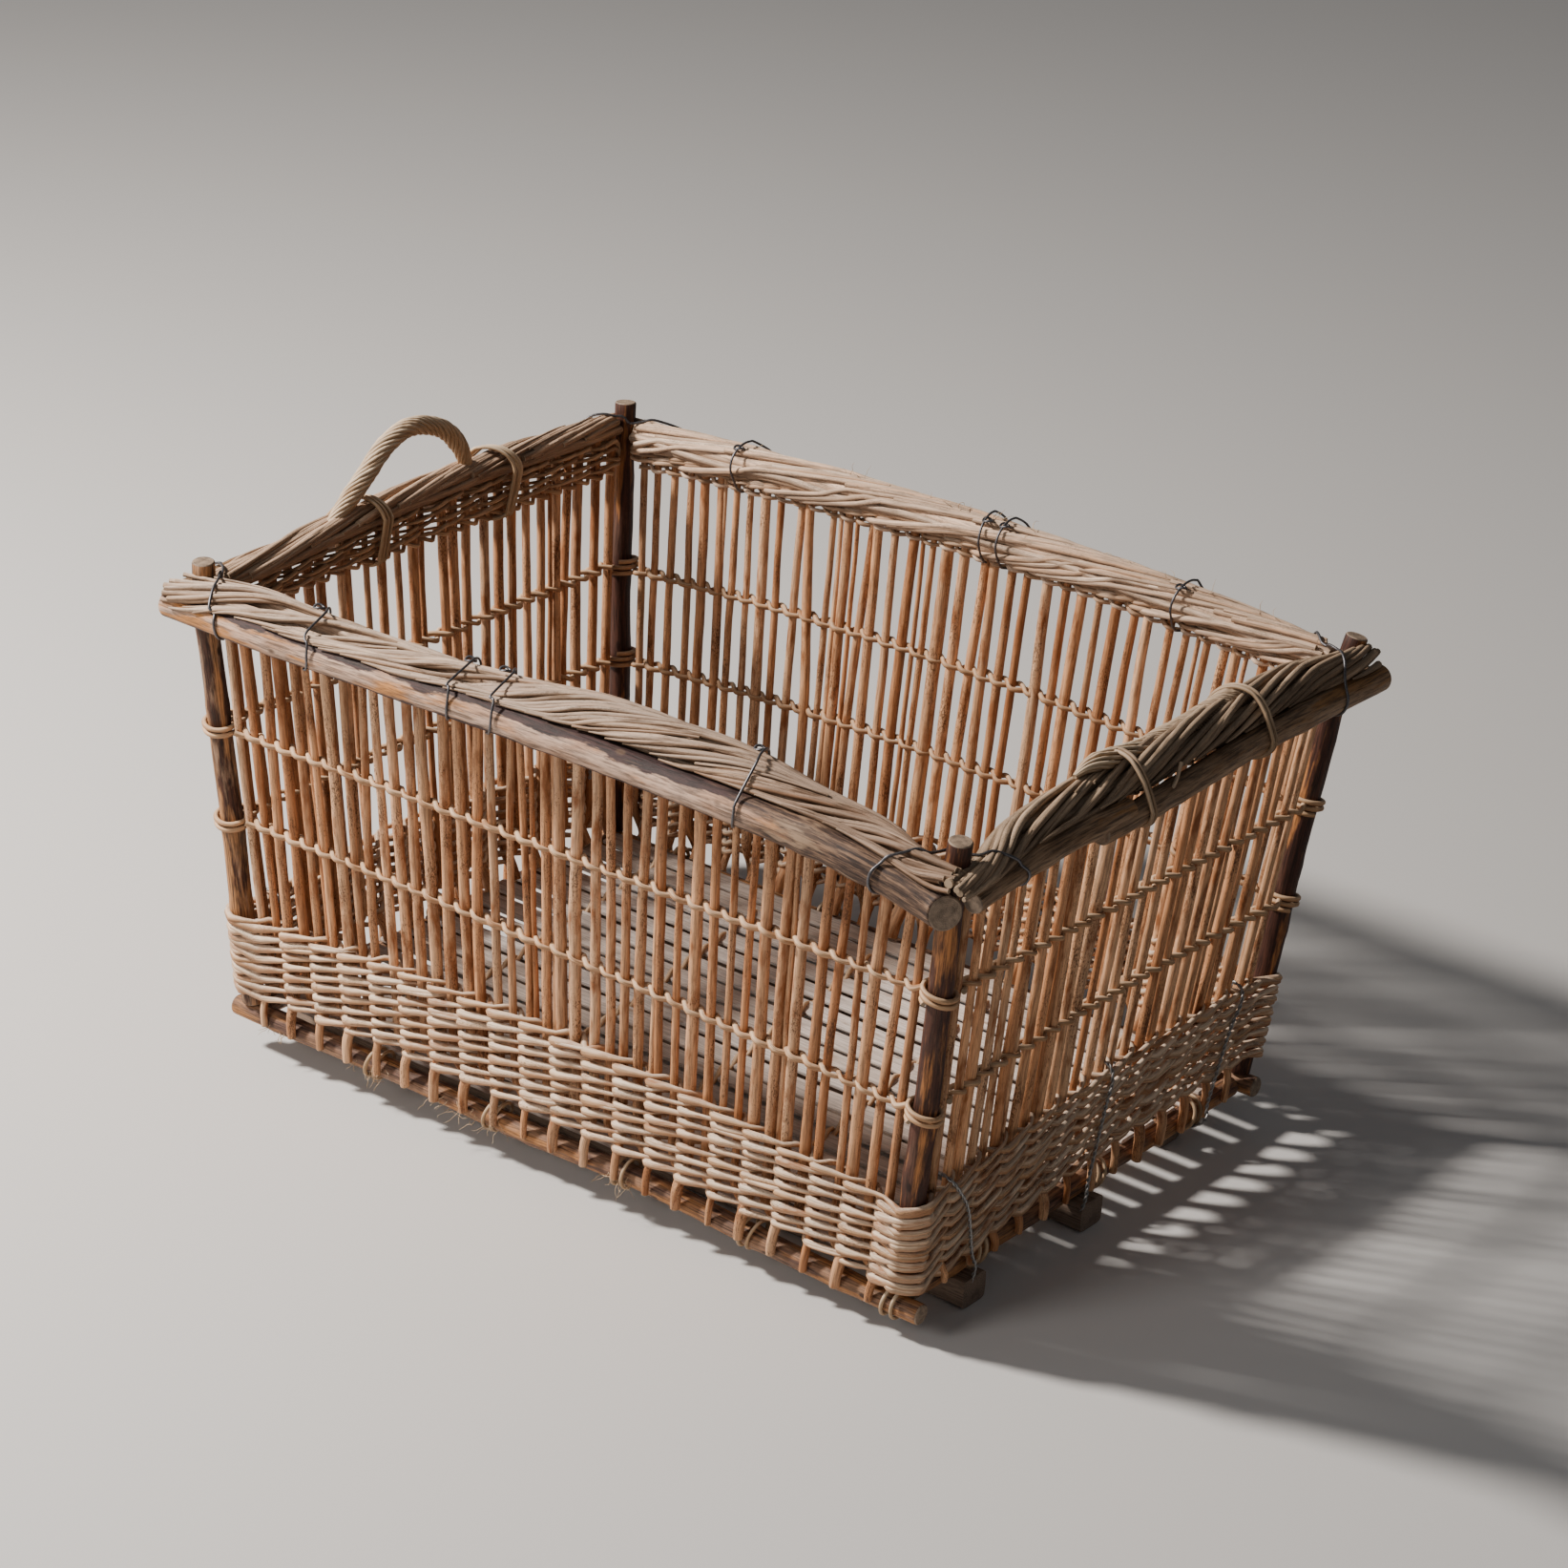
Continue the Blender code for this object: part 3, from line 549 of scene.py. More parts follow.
def noise(tree, vector, scale, detail=3.0, rough=0.55):
    inputs = {"Vector": vector, "Scale": scale, "Detail": detail, "Roughness": rough}
    return add_node(tree, "ShaderNodeTexNoise", **inputs).outputs[0]


def mask(tree, value, low, high, most=1.0):
    """Nought below one value, the most above another."""
    inputs = {"Value": value, "From_Min": low, "From_Max": high, "To_Max": most}
    return add_node(tree, "ShaderNodeMapRange", **inputs).outputs[0]


def blend(tree, factor, first, second, mode="MIX"):
    made = add_node(tree, "ShaderNodeMix", {"data_type": "RGBA", "blend_type": mode})
    for key, value in ((0, factor), (6, first), (7, second)):
        if isinstance(value, bpy.types.NodeSocket):
            tree.links.new(value, made.inputs[key])
        elif key:
            made.inputs[key].default_value = (*value, 1)
        else:
            made.inputs[key].default_value = value
    return made.outputs[2]


print("half of a pale tone:", scaled((0.8, 0.6, 0.4), 0.5))

# %% [markdown]
# Every finish starts from the same matt shader and ends with the same joins: colour, roughness and relief.
# A sawn face shows year rings round the middle of the rod. They are a sine of the distance from it, made a
# little uneven, and they show only where "cut" is nearly nought.

# %% Write the start and the end of a finish
def start_finish(name, roughness=0.7):
    made = bpy.data.materials.new(name)
    made.use_nodes = True
    shader = made.node_tree.nodes["Principled BSDF"]
    shader.inputs["Roughness"].default_value = roughness
    shader.inputs["Specular IOR Level"].default_value = 0.28
    return made, made.node_tree, shader


def rings(tree, bark, sawn, dark, detail, uneven, turns):
    """The tone of a sawn face."""
    flat = stretched(tree, bark, (1, 1, 0))
    across = add_node(tree, "ShaderNodeVectorMath", {"operation": "LENGTH"}, _0=flat).outputs["Value"]
    wavy = arithmetic(tree, "MULTIPLY_ADD", noise(tree, bark, detail), uneven, across)
    wave = arithmetic(tree, "SINE", arithmetic(tree, "MULTIPLY", wavy, turns))
    return ramp(tree, arithmetic(tree, "MULTIPLY_ADD", wave, 0.5, 0.5), ((0, scaled(sawn, dark)), (1, sawn)))


def is_sawn(tree, depth):
    return arithmetic(tree, "LESS_THAN", attribute(tree, "cut"), depth)


def join_skin(tree, shader, colour, roughness, height, strength, depth):
    """Joins colour, roughness and relief to the shader."""
    tree.links.new(colour, shader.inputs["Base Color"])
    tree.links.new(roughness, shader.inputs["Roughness"])
    relief = add_node(tree, "ShaderNodeBump", Strength=strength, Distance=depth, Height=height)
    tree.links.new(relief.outputs[0], shader.inputs["Normal"])


SAWN_WILLOW = (0.45, 0.33, 0.22)
SAWN_POLE = (0.34, 0.25, 0.18)
print("sawn faces are", SAWN_WILLOW, "on willow and", SAWN_POLE, "on poles")

# %% [markdown]
# Willow has one recipe with different tones. Each rod takes its tone from a ramp by its random number,
# long thin streaks follow the grain, wide soft patches darken the bark, and small dark specks are the
# pores. Old willow is bleached where it looks up, so some finishes ask for a top tone, and those finishes
# also get painted shade on the sides and undersides of their rods.
# A border can also grow browner to its right. Bump comes from the same streaks as the colour, so that
# light and colour agree.

# %% Write the willow recipe
def willow(name, tones, patch, grain_dark, patch_share=0.5, speck=0.5, top=None, shade=0.72, **look):
    """tones: one for each kind of rod. patch: the darker bark, and the tone of the painted shade. top: what
    the weather bleaches it to; a finish with a top also gets painted shade under its rods.
    """
    made, tree, shader = start_finish(name)
    bark = attribute(tree, "bark", "Vector")
    rod = attribute(tree, "rod")
    steps = [(i / (len(tones) - 1), tone) for i, tone in enumerate(tones)]
    colour = ramp(tree, rod, steps)
    own = add_node(tree, "ShaderNodeTexWhiteNoise", {"noise_dimensions": "1D"}, W=rod).outputs["Value"]
    colour = blend(tree, 1.0, colour, ramp(tree, own, ((0, grey(shade)), (1, grey(1.12)))), "MULTIPLY")
    grain = noise(tree, stretched(tree, bark, (1, 1, 0.05)), 650, 5.0, 0.65)
    grain_tone = ramp(tree, grain, ((0.38, grey(grain_dark)), (0.51, grey(1.0)), (0.64, grey(1.18))))
    colour = blend(tree, 1.0, colour, grain_tone, "MULTIPLY")
    wide = noise(tree, stretched(tree, bark, (1, 1, 0.25)), 90, 4.0, 0.6)
    if top:
        up = attribute(tree, "up")
        # Painted shade: with a top tone, the sides and undersides of each rod are darkened towards the patch
        # tone.
        under = ramp(tree, grain, ((0.3, scaled(patch, 0.7)), (0.7, scaled(patch, 1.3))))
        colour = blend(tree, mask(tree, up, 0.42, -0.25, 0.72), colour, under)
        bleached = arithmetic(tree, "MULTIPLY_ADD", wide, 0.9, up)
        colour = blend(tree, mask(tree, bleached, 0.75, 1.60, 0.62), colour, top)
    patch_stops = ((0.62 - 0.22 * patch_share, grey(0)), (0.70 - 0.05 * patch_share, grey(1)))
    colour = blend(tree, ramp(tree, wide, patch_stops), colour, patch)
    if look.get("browner"):
        place = read(tree, "ShaderNodeTexCoord", "Object")
        side = add_node(tree, "ShaderNodeSeparateXYZ", Vector=place).outputs["X"]
        uneven_side = arithmetic(tree, "MULTIPLY_ADD", wide, 0.35, side)
        browner = blend(tree, 1.0, colour, look["browner"], "MULTIPLY")
        colour = blend(tree, mask(tree, uneven_side, 0.0, 0.72), colour, browner)
    dots = noise(tree, stretched(tree, bark, (1, 1, 0.40)), 800, 5.0, 0.75)
    crowd = noise(tree, stretched(tree, bark, (1, 1, 0.30)), 45, 2.0, 0.5)
    dotted = arithmetic(tree, "MULTIPLY_ADD", crowd, 0.55, dots)
    dot_mask = ramp(tree, dotted, ((0.86, grey(0)), (0.91, grey(speck))))
    colour = blend(tree, dot_mask, colour, scaled(patch, 0.30))
    sawn = rings(tree, bark, SAWN_WILLOW, 0.55, 400, 0.0012, 6500.0)
    colour = blend(tree, is_sawn(tree, 0.0006), colour, sawn)
    matt = arithmetic(tree, "MULTIPLY_ADD", wide, 0.3, look.get("roughness", 0.60) - 0.15)
    height = arithmetic(tree, "MULTIPLY_ADD", grain, 0.7, arithmetic(tree, "MULTIPLY", wide, 0.6))
    join_skin(tree, shader, colour, matt, height, look.get("bump", 0.4), 0.0009)
    return made


print("recipe ready:", willow.__name__)

# %% [markdown]
# The tones come from the photograph, one finish for each kind of rod: orange-brown bark on the
# stakes, pale wood on the lower weave, pale binding rods. The borders have weathered differently: white
# in the sun on the left of the front and browner to its right, grey-brown at the ends, orange behind.
# The right end's darker grey-brown is partly painted shade.

# %% Mix the willow finishes
STAKE_WILLOW = willow(
    "stake_willow",
    ((0.56, 0.27, 0.125), (0.66, 0.38, 0.21), (0.47, 0.20, 0.08), (0.69, 0.42, 0.245), (0.58, 0.30, 0.15),
     (0.40, 0.16, 0.06)),
    (0.25, 0.09, 0.03), 0.56, 0.55, 0.85,
)
BAND_WILLOW = willow(
    "band_willow",
    ((0.68, 0.47, 0.30), (0.78, 0.60, 0.43), (0.58, 0.36, 0.20), (0.74, 0.54, 0.37), (0.48, 0.27, 0.13)),
    (0.32, 0.15, 0.07), 0.48, 0.50, 0.6, (0.90, 0.78, 0.65), 0.62,
)
PAIR_WILLOW = willow(
    "pair_willow",
    ((0.62, 0.38, 0.205), (0.73, 0.49, 0.30), (0.49, 0.27, 0.135)),
    (0.34, 0.17, 0.08), 0.55, 0.42, 0.4, (0.78, 0.59, 0.41),
)
BORDER_TONES = {
    "front": ((0.56, 0.385, 0.26), (0.45, 0.28, 0.17), (0.66, 0.49, 0.365), (0.38, 0.215, 0.12),
              # Painted shade: the right border is darker partly because that side lies in shade, and partly
              # because its wood is darker.
              (0.58, 0.40, 0.275)),
    "right": ((0.33, 0.21, 0.125), (0.43, 0.285, 0.18), (0.22, 0.135, 0.075), (0.52, 0.365, 0.24),
              (0.36, 0.23, 0.135)),
    "back": ((0.62, 0.38, 0.23), (0.72, 0.50, 0.35), (0.52, 0.28, 0.14), (0.78, 0.60, 0.46),
             (0.62, 0.35, 0.19)),
    "left": ((0.45, 0.26, 0.145), (0.56, 0.35, 0.215), (0.32, 0.17, 0.09), (0.66, 0.45, 0.30),
             (0.47, 0.27, 0.15)),
}
BORDER_TOPS = {
    "front": (0.71, 0.575, 0.475),
    # The right top tone is darker partly as painted shade.
    "right": (0.48, 0.36, 0.255),
    "back": (0.72, 0.55, 0.42),
    "left": (0.62, 0.46, 0.34),
}
BORDER_WILLOW = {}
for one, border_tones in BORDER_TONES.items():
    browner = (0.50, 0.42, 0.36) if one == "front" else None
    values = (border_tones, scaled(border_tones[1], 0.42), 0.36, 0.50, 0.55, BORDER_TOPS[one], 0.60)
    BORDER_WILLOW[one] = willow("border_willow_" + one, *values, bump=0.9, browner=browner)
print("willow finishes:", [m.name for m in (STAKE_WILLOW, BAND_WILLOW, PAIR_WILLOW, *BORDER_WILLOW.values())])

# %% [markdown]
# The stakes stand in the planes of the four sides. Every second one is a foot stake: below the weave it
# comes out in front of the base pole and ends in line with its underside. The others go down inside the
# pole. No two rods are alike, so each gets its own thickness, a slight lean and one low bow from a seeded
# random generator. A few are thicker than the rest, and here and there a thin second rod stands beside one.

# %% Raise the stakes
BASE_POLE_RADIUS = 0.012


def is_foot(side, index):
    return (index - (STAKES[side] // 2) % 2) % 2 == 0


def stake_path(side, index, dice):
    """One stake from its foot to the border."""
    share = stake_share(side, index)
    low = arch(BAND_BOTTOM, side, share)
    high = arch(BAND_TOP, side, share)
    top = arch(BORDER_LINE, side, share) - 0.008
    thick = dice.choice((0.0042, 0.0046, 0.0050, 0.0053, 0.0056, 0.0060, 0.0066))
    if dice.random() < 0.08:
        thick *= 1.20
    bottom_shift, top_shift = dice.gauss(0, 0.0016), dice.gauss(0, 0.0028)
    bow, turn = dice.gauss(0, 0.0028), dice.uniform(0.6, 1.6)
    out = BASE_POLE_RADIUS + thick * 0.80
    drop = base_drop(side, share)
    if is_foot(side, index):
        end = dice.uniform(0.0440, 0.0475) - drop
        points = [share_place(side, share, out, end), share_place(side, share, out, end + 0.008)]
        points.append(share_place(side, share, out - 0.003, max(low - 0.006, 0.060 - drop)))
    else:
        points = [share_place(side, share, -out, 0.067), share_place(side, share, -out + 0.006, low)]
    levels = [low + 0.022, (low + high) / 2, high - 0.012]
    levels += [high + (top - high) * k / 8 for k in range(1, 9)]
    for z in levels:
        t = (z - low) / (top - low)
        shift = bottom_shift + (top_shift - bottom_shift) * t + bow * math.sin(math.pi * turn * t)
        u = share * stake_reach(side, z) + shift + dice.gauss(0, 0.0003)
        points.append(place(side, u, 0.4 * bow * math.sin(2.4 * t), z))
    count = len(points)
    radii = [thick * (1.06 - 0.15 * i / count + dice.gauss(0, 0.018)) for i in range(count)]
    if is_foot(side, index):
        radii[:3] = [0.84 * thick, 0.86 * thick, 0.92 * thick]
    return points, radii


def twin_path(side, index, dice):
    """A thin second rod beside a stake, put in where the stake was weak."""
    share = stake_share(side, index)
    away = dice.choice((-1, 1)) * 0.0085
    low = arch(BAND_TOP, side, share) - 0.03
    high = arch(WEAVE_LINE, side, share) + 0.010
    points = []
    for k in range(8):
        z = low + (high - low) * k / 7
        bowed = away * (1 - 0.12 * math.sin(math.pi * k / 7))
        u = share * stake_reach(side, z) + bowed + dice.gauss(0, 0.0004)
        points.append(place(side, u, dice.gauss(-0.001, 0.0004), z))
    return points, [0.0034 - 0.0001 * k for k in range(8)]


def make_stakes():
    for number, side in enumerate(SIDES):
        dice = random.Random(100 + number)
        rods = [stake_path(side, i, dice) for i in range(STAKES[side])]
        rods += [twin_path(side, i, dice) for i in range(3, STAKES[side] - 3) if dice.random() < 0.12]
        piece = make_rods("stakes_" + side, rods, STAKE_WILLOW, 10, 3, 0.07, 0.016, 11 + number)
        settle(piece, "willow", "wall_" + side)


make_stakes()

# %% [markdown]
# The lower weave has eight rows, and two rods take turns in each. A rod passes in front of three stakes
# and behind one, and the other rod does the same two stakes later, so at every foot stake one stroke
# ends, thin and close in, while the next begins, thick and further out. That overlap makes the slanting
# strokes. One stroke could be copied along each row, but then all would be alike and none would pass a
# stake. So each rod is followed right round the basket, outside the corner posts.

# %% Work out one rod of the lower weave
ROW_COUNT = 8
STROKE_RISE = 0.0033
ROD_RADIUS = 0.0040


def band_level(side, share, row):
    """The height of a row's middle."""
    low = arch(BAND_BOTTOM, side, share)
    return low + (row + 0.5) * (arch(BAND_TOP, side, share) - low) / ROW_COUNT


def corner_turn(side, radius, low, high, steps=6, inset=0.008):
    """Points round the outside of the post at the right end of a side, between two heights."""
    points = []
    for k in range(steps):
        share = (k + 0.5) / steps
        z = low + (high - low) * share
        angle = share * math.pi / 2
        u = reach(side, z) - inset + radius * math.sin(angle)
        points.append(place(side, u, radius * math.cos(angle) - inset, z))
    return points


def stroke_states(side, strand, row):
    """For each stake of a side, how this rod passes it: front, behind, start or end."""
    states = []
    for i in range(STAKES[side]):
        turn = (i - (STAKES[side] // 2) % 2 + 1) // 2 + strand + row
        if is_foot(side, i):
            states.append("end" if turn % 2 == 0 else "start")
        else:
            states.append("front" if turn % 2 == 0 else "behind")
    return states


def band_rod(row, strand, dice):
    """One rod right round the basket in one row, with its thickness."""
    depth = {"front": 0.0124, "behind": -0.0088, "start": 0.0132, "end": 0.0096}
    lift = {"front": 0.1, "behind": 0.0, "start": -1.0, "end": 1.0}
    swell = {"front": 1.00, "behind": 0.78, "start": 1.18, "end": 0.60}
    points = []
    radii = []
    for number, side in enumerate(SIDES):
        states = stroke_states(side, strand, row)
        size = dice.uniform(0.85, 1.1)
        drop = 0.0
        for i, state in enumerate(states):
            share = stake_share(side, i)
            if state == "behind":
                size = dice.uniform(0.74, 1.20)
                drop = dice.gauss(0, 0.0012)
            v = depth[state] + dice.gauss(0, 0.0005)
            if state == "behind" and i in (0, STAKES[side] - 1):
                v = 0.001
            z = band_level(side, share, row) + lift[state] * STROKE_RISE + drop
            if i and {state, states[i - 1]} & {"behind"}:
                side_lift = STROKE_RISE if state == "behind" else -STROKE_RISE
                middle = share - 1 / (STAKES[side] - 1)
                between = z - lift[state] * STROKE_RISE + side_lift * 1.1
                points.append(share_place(side, middle, 0.0014, between))
                radii.append(ROD_RADIUS * 0.92 * size)
            points.append(share_place(side, share, v, z))
            radii.append(ROD_RADIUS * swell[state] * size)
        after = SIDES[(number + 1) % 4]
        tilt = STROKE_RISE * (0.6 if strand else -0.6)
        levels = [band_level(*end, row) + tilt for end in ((side, 1.0), (after, -1.0))]
        turn = corner_turn(side, 0.0272 + dice.gauss(0, 0.0006), *levels)
        points += turn
        radii += [ROD_RADIUS * dice.uniform(0.86, 1.08)] * len(turn)
    return points, radii, True


print("strokes of a front row:", stroke_states("front", 0, 0)[:8])

# %% [markdown]
# Real weavers put in a second thin rod where the first runs out, so beside some strokes lies another one.
# With it the band looks full, and no two strokes are quite the same.

# %% Weave the lower band
def doubled_strokes(dice):
    """Thin second rods that lie beside some of the strokes."""
    rods = []
    way = ((-0.5, -0.001, -1.5), (0, 0.0142, -1.3), (1, 0.0150, -0.5), (2, 0.0122, 0.4), (2.6, 0.002, 0.6))
    for side in SIDES:
        for i in range(2, STAKES[side] - 4):
            if not is_foot(side, i) or dice.random() > 0.55:
                continue
            row = dice.randrange(ROW_COUNT)
            points = []
            for along, v, lift in way:
                share = stake_share(side, i + along)
                z = band_level(side, share, row) + lift * STROKE_RISE
                points.append(share_place(side, share, v, z))
            size = dice.uniform(0.7, 1.15)
            rods.append((points, [size * r for r in (0.0022, 0.0028, 0.0029, 0.0026, 0.0018)]))
    return rods


def make_lower_weave():
    dice = random.Random(7)
    halves = {"lower": range(0, 4), "upper": range(4, ROW_COUNT)}
    for name, rows in halves.items():
        rods = [band_rod(row, strand, dice) for row in rows for strand in (0, 1)]
        piece = make_rods("lower_weave_" + name, rods, BAND_WILLOW, 8, 2, 0.10, 0.010, 21)
        settle(piece, "willow")
    settle(make_rods("doubled_strokes", doubled_strokes(dice), BAND_WILLOW, 7, 3, 0.08, 0.01, 31), "willow")


make_lower_weave()

# %% [markdown]
# Two paired rows tie the open part of each side. Both rods of a pair change places between every two
# stakes: the one that was in front dives down and goes behind, the other comes up from behind. Two sine
# waves come close, but points at the stakes keep each crossing where its stakes are. At the right-hand
# post one rod makes two loose rings round the post before it turns back.

# %% Tie the paired rows
PAIR_RADIUS = 0.0031


def pair_paths(side, line, dice, depth=0.0082, swing=0.0025):
    """The two rods of one paired row, each as points and radii."""
    count = STAKES[side]
    rods = []
    for strand in (0, 1):
        points = []
        radii = []
        size = 1.0
        for i in range(2 * count - 1):
            share = stake_share(side, i / 2)
            z = arch(line, side, share) + dice.gauss(0, 0.0005)
            index = i // 2 + strand
            if i % 8 == 0:
                size = dice.uniform(0.82, 1.12)
            if i % 2:
                down = 1 if index % 2 == 0 else -1
                points.append(share_place(side, share, 0.0006, z - down * swing))
            else:
                out = 1 if index % 2 == 0 else -1
                points.append(share_place(side, share, out * depth, z + out * 0.0006))
            radii.append(PAIR_RADIUS * size * dice.uniform(0.95, 1.04))
        rods.append((points, radii))
    return rods


def post_rings(side, z, dice):
    """Two rings of a thin rod round the post at the right end of a side, from the last stake and back."""
    points = []
    steps = 26
    for k in range(steps + 1):
        t = k / steps
        angle = -0.35 * math.pi + 4.7 * math.pi * t
        level = z + 0.0075 - 0.0165 * t + 0.0030 * math.cos(angle)
        wide = POST_RADIUS + 0.0040 + 0.0016 * max(0, math.cos(angle))
        u = reach(side, level) - wide * math.cos(angle)
        points.append(place(side, u, wide * math.sin(angle), level))
    return points, [0.0028 * dice.uniform(0.95, 1.05) for _ in points]


def make_pairs():
    for level, line in (("upper", UPPER_PAIR_LINE), ("lower", LOWER_PAIR_LINE)):
        for number, side in enumerate(SIDES):
            dice = random.Random(40 + number + 10 * len(level))
            rods = pair_paths(side, line, dice)
            z = arch(line, side, 1.0)
            for strand, lift in ((0, 0.0065), (1, -0.0060)):
                u = reach(side, z + lift) - POST_RADIUS - 0.0035
                rods[strand][0].append(place(side, u, 0.004, z + lift))
                rods[strand][1].append(0.0031)
            rods.append(post_rings(side, z, dice))
            name = "pairing_" + level + "_rods_" + side
            piece = make_rods(name, rods, PAIR_WILLOW, 8, 3, 0.06, 0.01, 51 + number)
            settle(piece, "peeled_willow", "pairing_" + level + "_" + side)


make_pairs()

# %% [markdown]
# Over the stakes comes the top weave. From inside it shows a fine pair of rods at its lower edge and rows
# of thin pale rods that pass two stakes inside and one outside, each starting one stake later than the
# one before. On the deeper left side there is room for more of these rows. The border hides most of it, so
# a rule for one rod, shifted by a stake from row to row, is enough.

# %% Weave the rows under the border
def weave_level(side, share, t):
    """A height between the top weave's lower edge, 0, and the border's underside, 1."""
    low = arch(WEAVE_LINE, side, share)
    return low + (arch(BORDER_LINE, side, share) - 0.0165 - low) * t


def top_rod(side, t, radius, phase, dice):
    """A rod that shows inside over two stakes, then passes outside one, along a whole side."""
    inner = 0.0086
    points = []
    radii = []
    size = 1.0
    for i in range(STAKES[side]):
        share = stake_share(side, i)
        k = (i + phase) % 3
        if k == 0:
            size = dice.uniform(0.80, 1.12)
        z = weave_level(side, share, t) + (1.6 - 1.3 * k) * radius + dice.gauss(0, 0.0005)
        v = inner * 0.85 if k == 2 else -inner - 0.0012 * (k == 0) - 0.0008 * dice.random()
        points.append(share_place(side, share, v, z))
        radii.append(radius * (1.12 - 0.16 * k) * size)
    z = weave_level(side, 1.0, t)
    ends = [place(side, sign * (reach(side, z) - POST_RADIUS - radius), -0.004, z) for sign in (-1, 1)]
    return [ends[0], *points, ends[1]], [radius, *radii, radius]


# The right side's top weave takes the right border's tones, and with them their painted shade.
TOP_TONES = {"front": BORDER_TONES["back"], "right": BORDER_TONES["right"], "back": BORDER_TONES["front"]}
TOP_TONES["left"] = ((0.52, 0.29, 0.15), (0.64, 0.41, 0.24), (0.38, 0.20, 0.10), (0.70, 0.48, 0.31))


def make_top_weave():
    for number, side in enumerate(SIDES):
        dice = random.Random(60 + number)
        tones = TOP_TONES[side]
        finish = willow("top_willow_" + side, tones, scaled(tones[1], 0.45), 0.5, 0.5, 0.5, bump=0.6)
        rods = []
        for points, radii in pair_paths(side, WEAVE_LINE, dice, 0.0078, 0.0026):
            rods.append((points, [radius * 0.84 for radius in radii]))
        rows = (0.20, 0.44, 0.68, 0.92) if side == "left" else (0.36, 0.66, 0.95)
        for row, t in enumerate(rows):
            phases = (0, 1) if side == "left" or row == 0 else (0, 1, 2)
            for phase in phases:
                thick = 0.0025 if side == "left" else 0.0026
                rods.append(top_rod(side, t + 0.05 * phase, thick, phase + row, dice))
        piece = make_rods("top_weave_rods_" + side, rods, finish, 7, 3, 0.07, 0.012, 71 + number)
        settle(piece, "grey_willow", "top_weave_" + side)


make_top_weave()

# %% [markdown]
# The border is a bundle of bent-over stake ends, wider than it is tall, with its outer half hanging on the
# rim pole. A sculpted roll would lack the gaps between its rods, so the rods are laid one by one. One
# function gives the bundle's skin at any place and angle, and everything on the border uses it. At the
# corners the bundles draw together, and the outer rods pass outside the post and meet in a mitre.

# %% Shape the border bundle
# How far each bundle reaches inwards and upwards from its line.
BORDER_IN = {"front": 0.0205, "right": 0.0205, "back": 0.0190, "left": 0.0150}
BORDER_TALL = {"front": 0.0150, "right": 0.0150, "back": 0.0140, "left": 0.0115}
# At the left and the right end of a side: how far the outer rods go past the post, how much the bundle
# narrows and how far it moves outwards.
BORDER_ENDS = {
    "front": ((0.019, 0.10, 0.012), (0.019, 0.42, 0.021)),
    "right": ((0.037, 0.32, 0.018), (0.030, 0.20, 0.016)),
    "back": ((-0.008, 0.30, 0.0), (0.012, 0.20, 0.008)),
    "left": ((0.004, 0.20, 0.004), (0.004, 0.20, 0.004)),
}


def outer_width(side, share):
    """How far the bundle reaches outwards: over the pole on the left half of the front."""
    return 0.0385 - 0.0050 * math.tanh(5 * share) if side == "front" else 0.0260


def bundle_point(side, u, angle, grow=0.0):
    """The distance outwards and the height on the bundle's skin, at an angle from outside to inside."""
    full = rim_reach(side)
    share = u / (full - STAKE_MARGIN)
    near = min(max((abs(u) - full + 0.11) / 0.10, 0), 1)
    near = near * near * (3 - 2 * near)
    wide = outer_width(side, share) if math.cos(angle) > 0 else BORDER_IN[side]
    _, narrow, move = BORDER_ENDS[side][0 if u < 0 else 1]
    v = (wide * (1 - narrow * near) + grow) * math.cos(angle) + move * near
    tall = BORDER_TALL[side] * (1 - 0.4 * narrow * near) + grow
    z = arch(BORDER_LINE, side, share) + tall * math.sin(angle)
    if math.cos(angle) > 0:
        z -= 0.014 * math.cos(angle) ** 2
    pole_v, pole_z, pole_r = rim_pole_at(side, u)
    away = abs(v - pole_v)
    if angle < 2 and away < pole_r:
        z = max(z, pole_z + math.sqrt(pole_r**2 - away**2) + 0.0030 + grow)
    return v, z


def beyond_end(side, u, v):
    """Whether a place lies past the post, where a rod of the bundle has to stop."""
    past = abs(u) - rim_reach(side)
    if v < 0.0135:
        return past > -POST_RADIUS - 0.0030
    return past > BORDER_ENDS[side][0 if u < 0 else 1][0]


print("the front bundle at its middle:", [round(at, 4) for at in bundle_point("front", 0, math.pi / 2)])

# %% [markdown]
# Each rod of the border comes up inside as a thick butt, passes a few stakes, climbs over the top of the
# bundle and ends as a thin tip on the outside, where it rests on the rim pole. It is drawn the other way
# round, from its tip to its butt, and stops where the bundle ends at a post.

# %% Work out one rod of the border
# How far a rod turns round the bundle, in radians for each metre of its way.
DRIFT = 7.4
# The height at which the stakes under the border are counted.
STAKE_TOPS = 0.55
# How a butt comes down inside: stakes further on, distance outwards, drop under the border's line.
BUTT_WAY = (
    (1.2, -0.0195, 0.0065), (2.4, -0.0188, 0.0130), (3.6, -0.0160, 0.0190), (4.6, -0.0130, 0.0235),
    (5.3, -0.002, 0.0265),
)


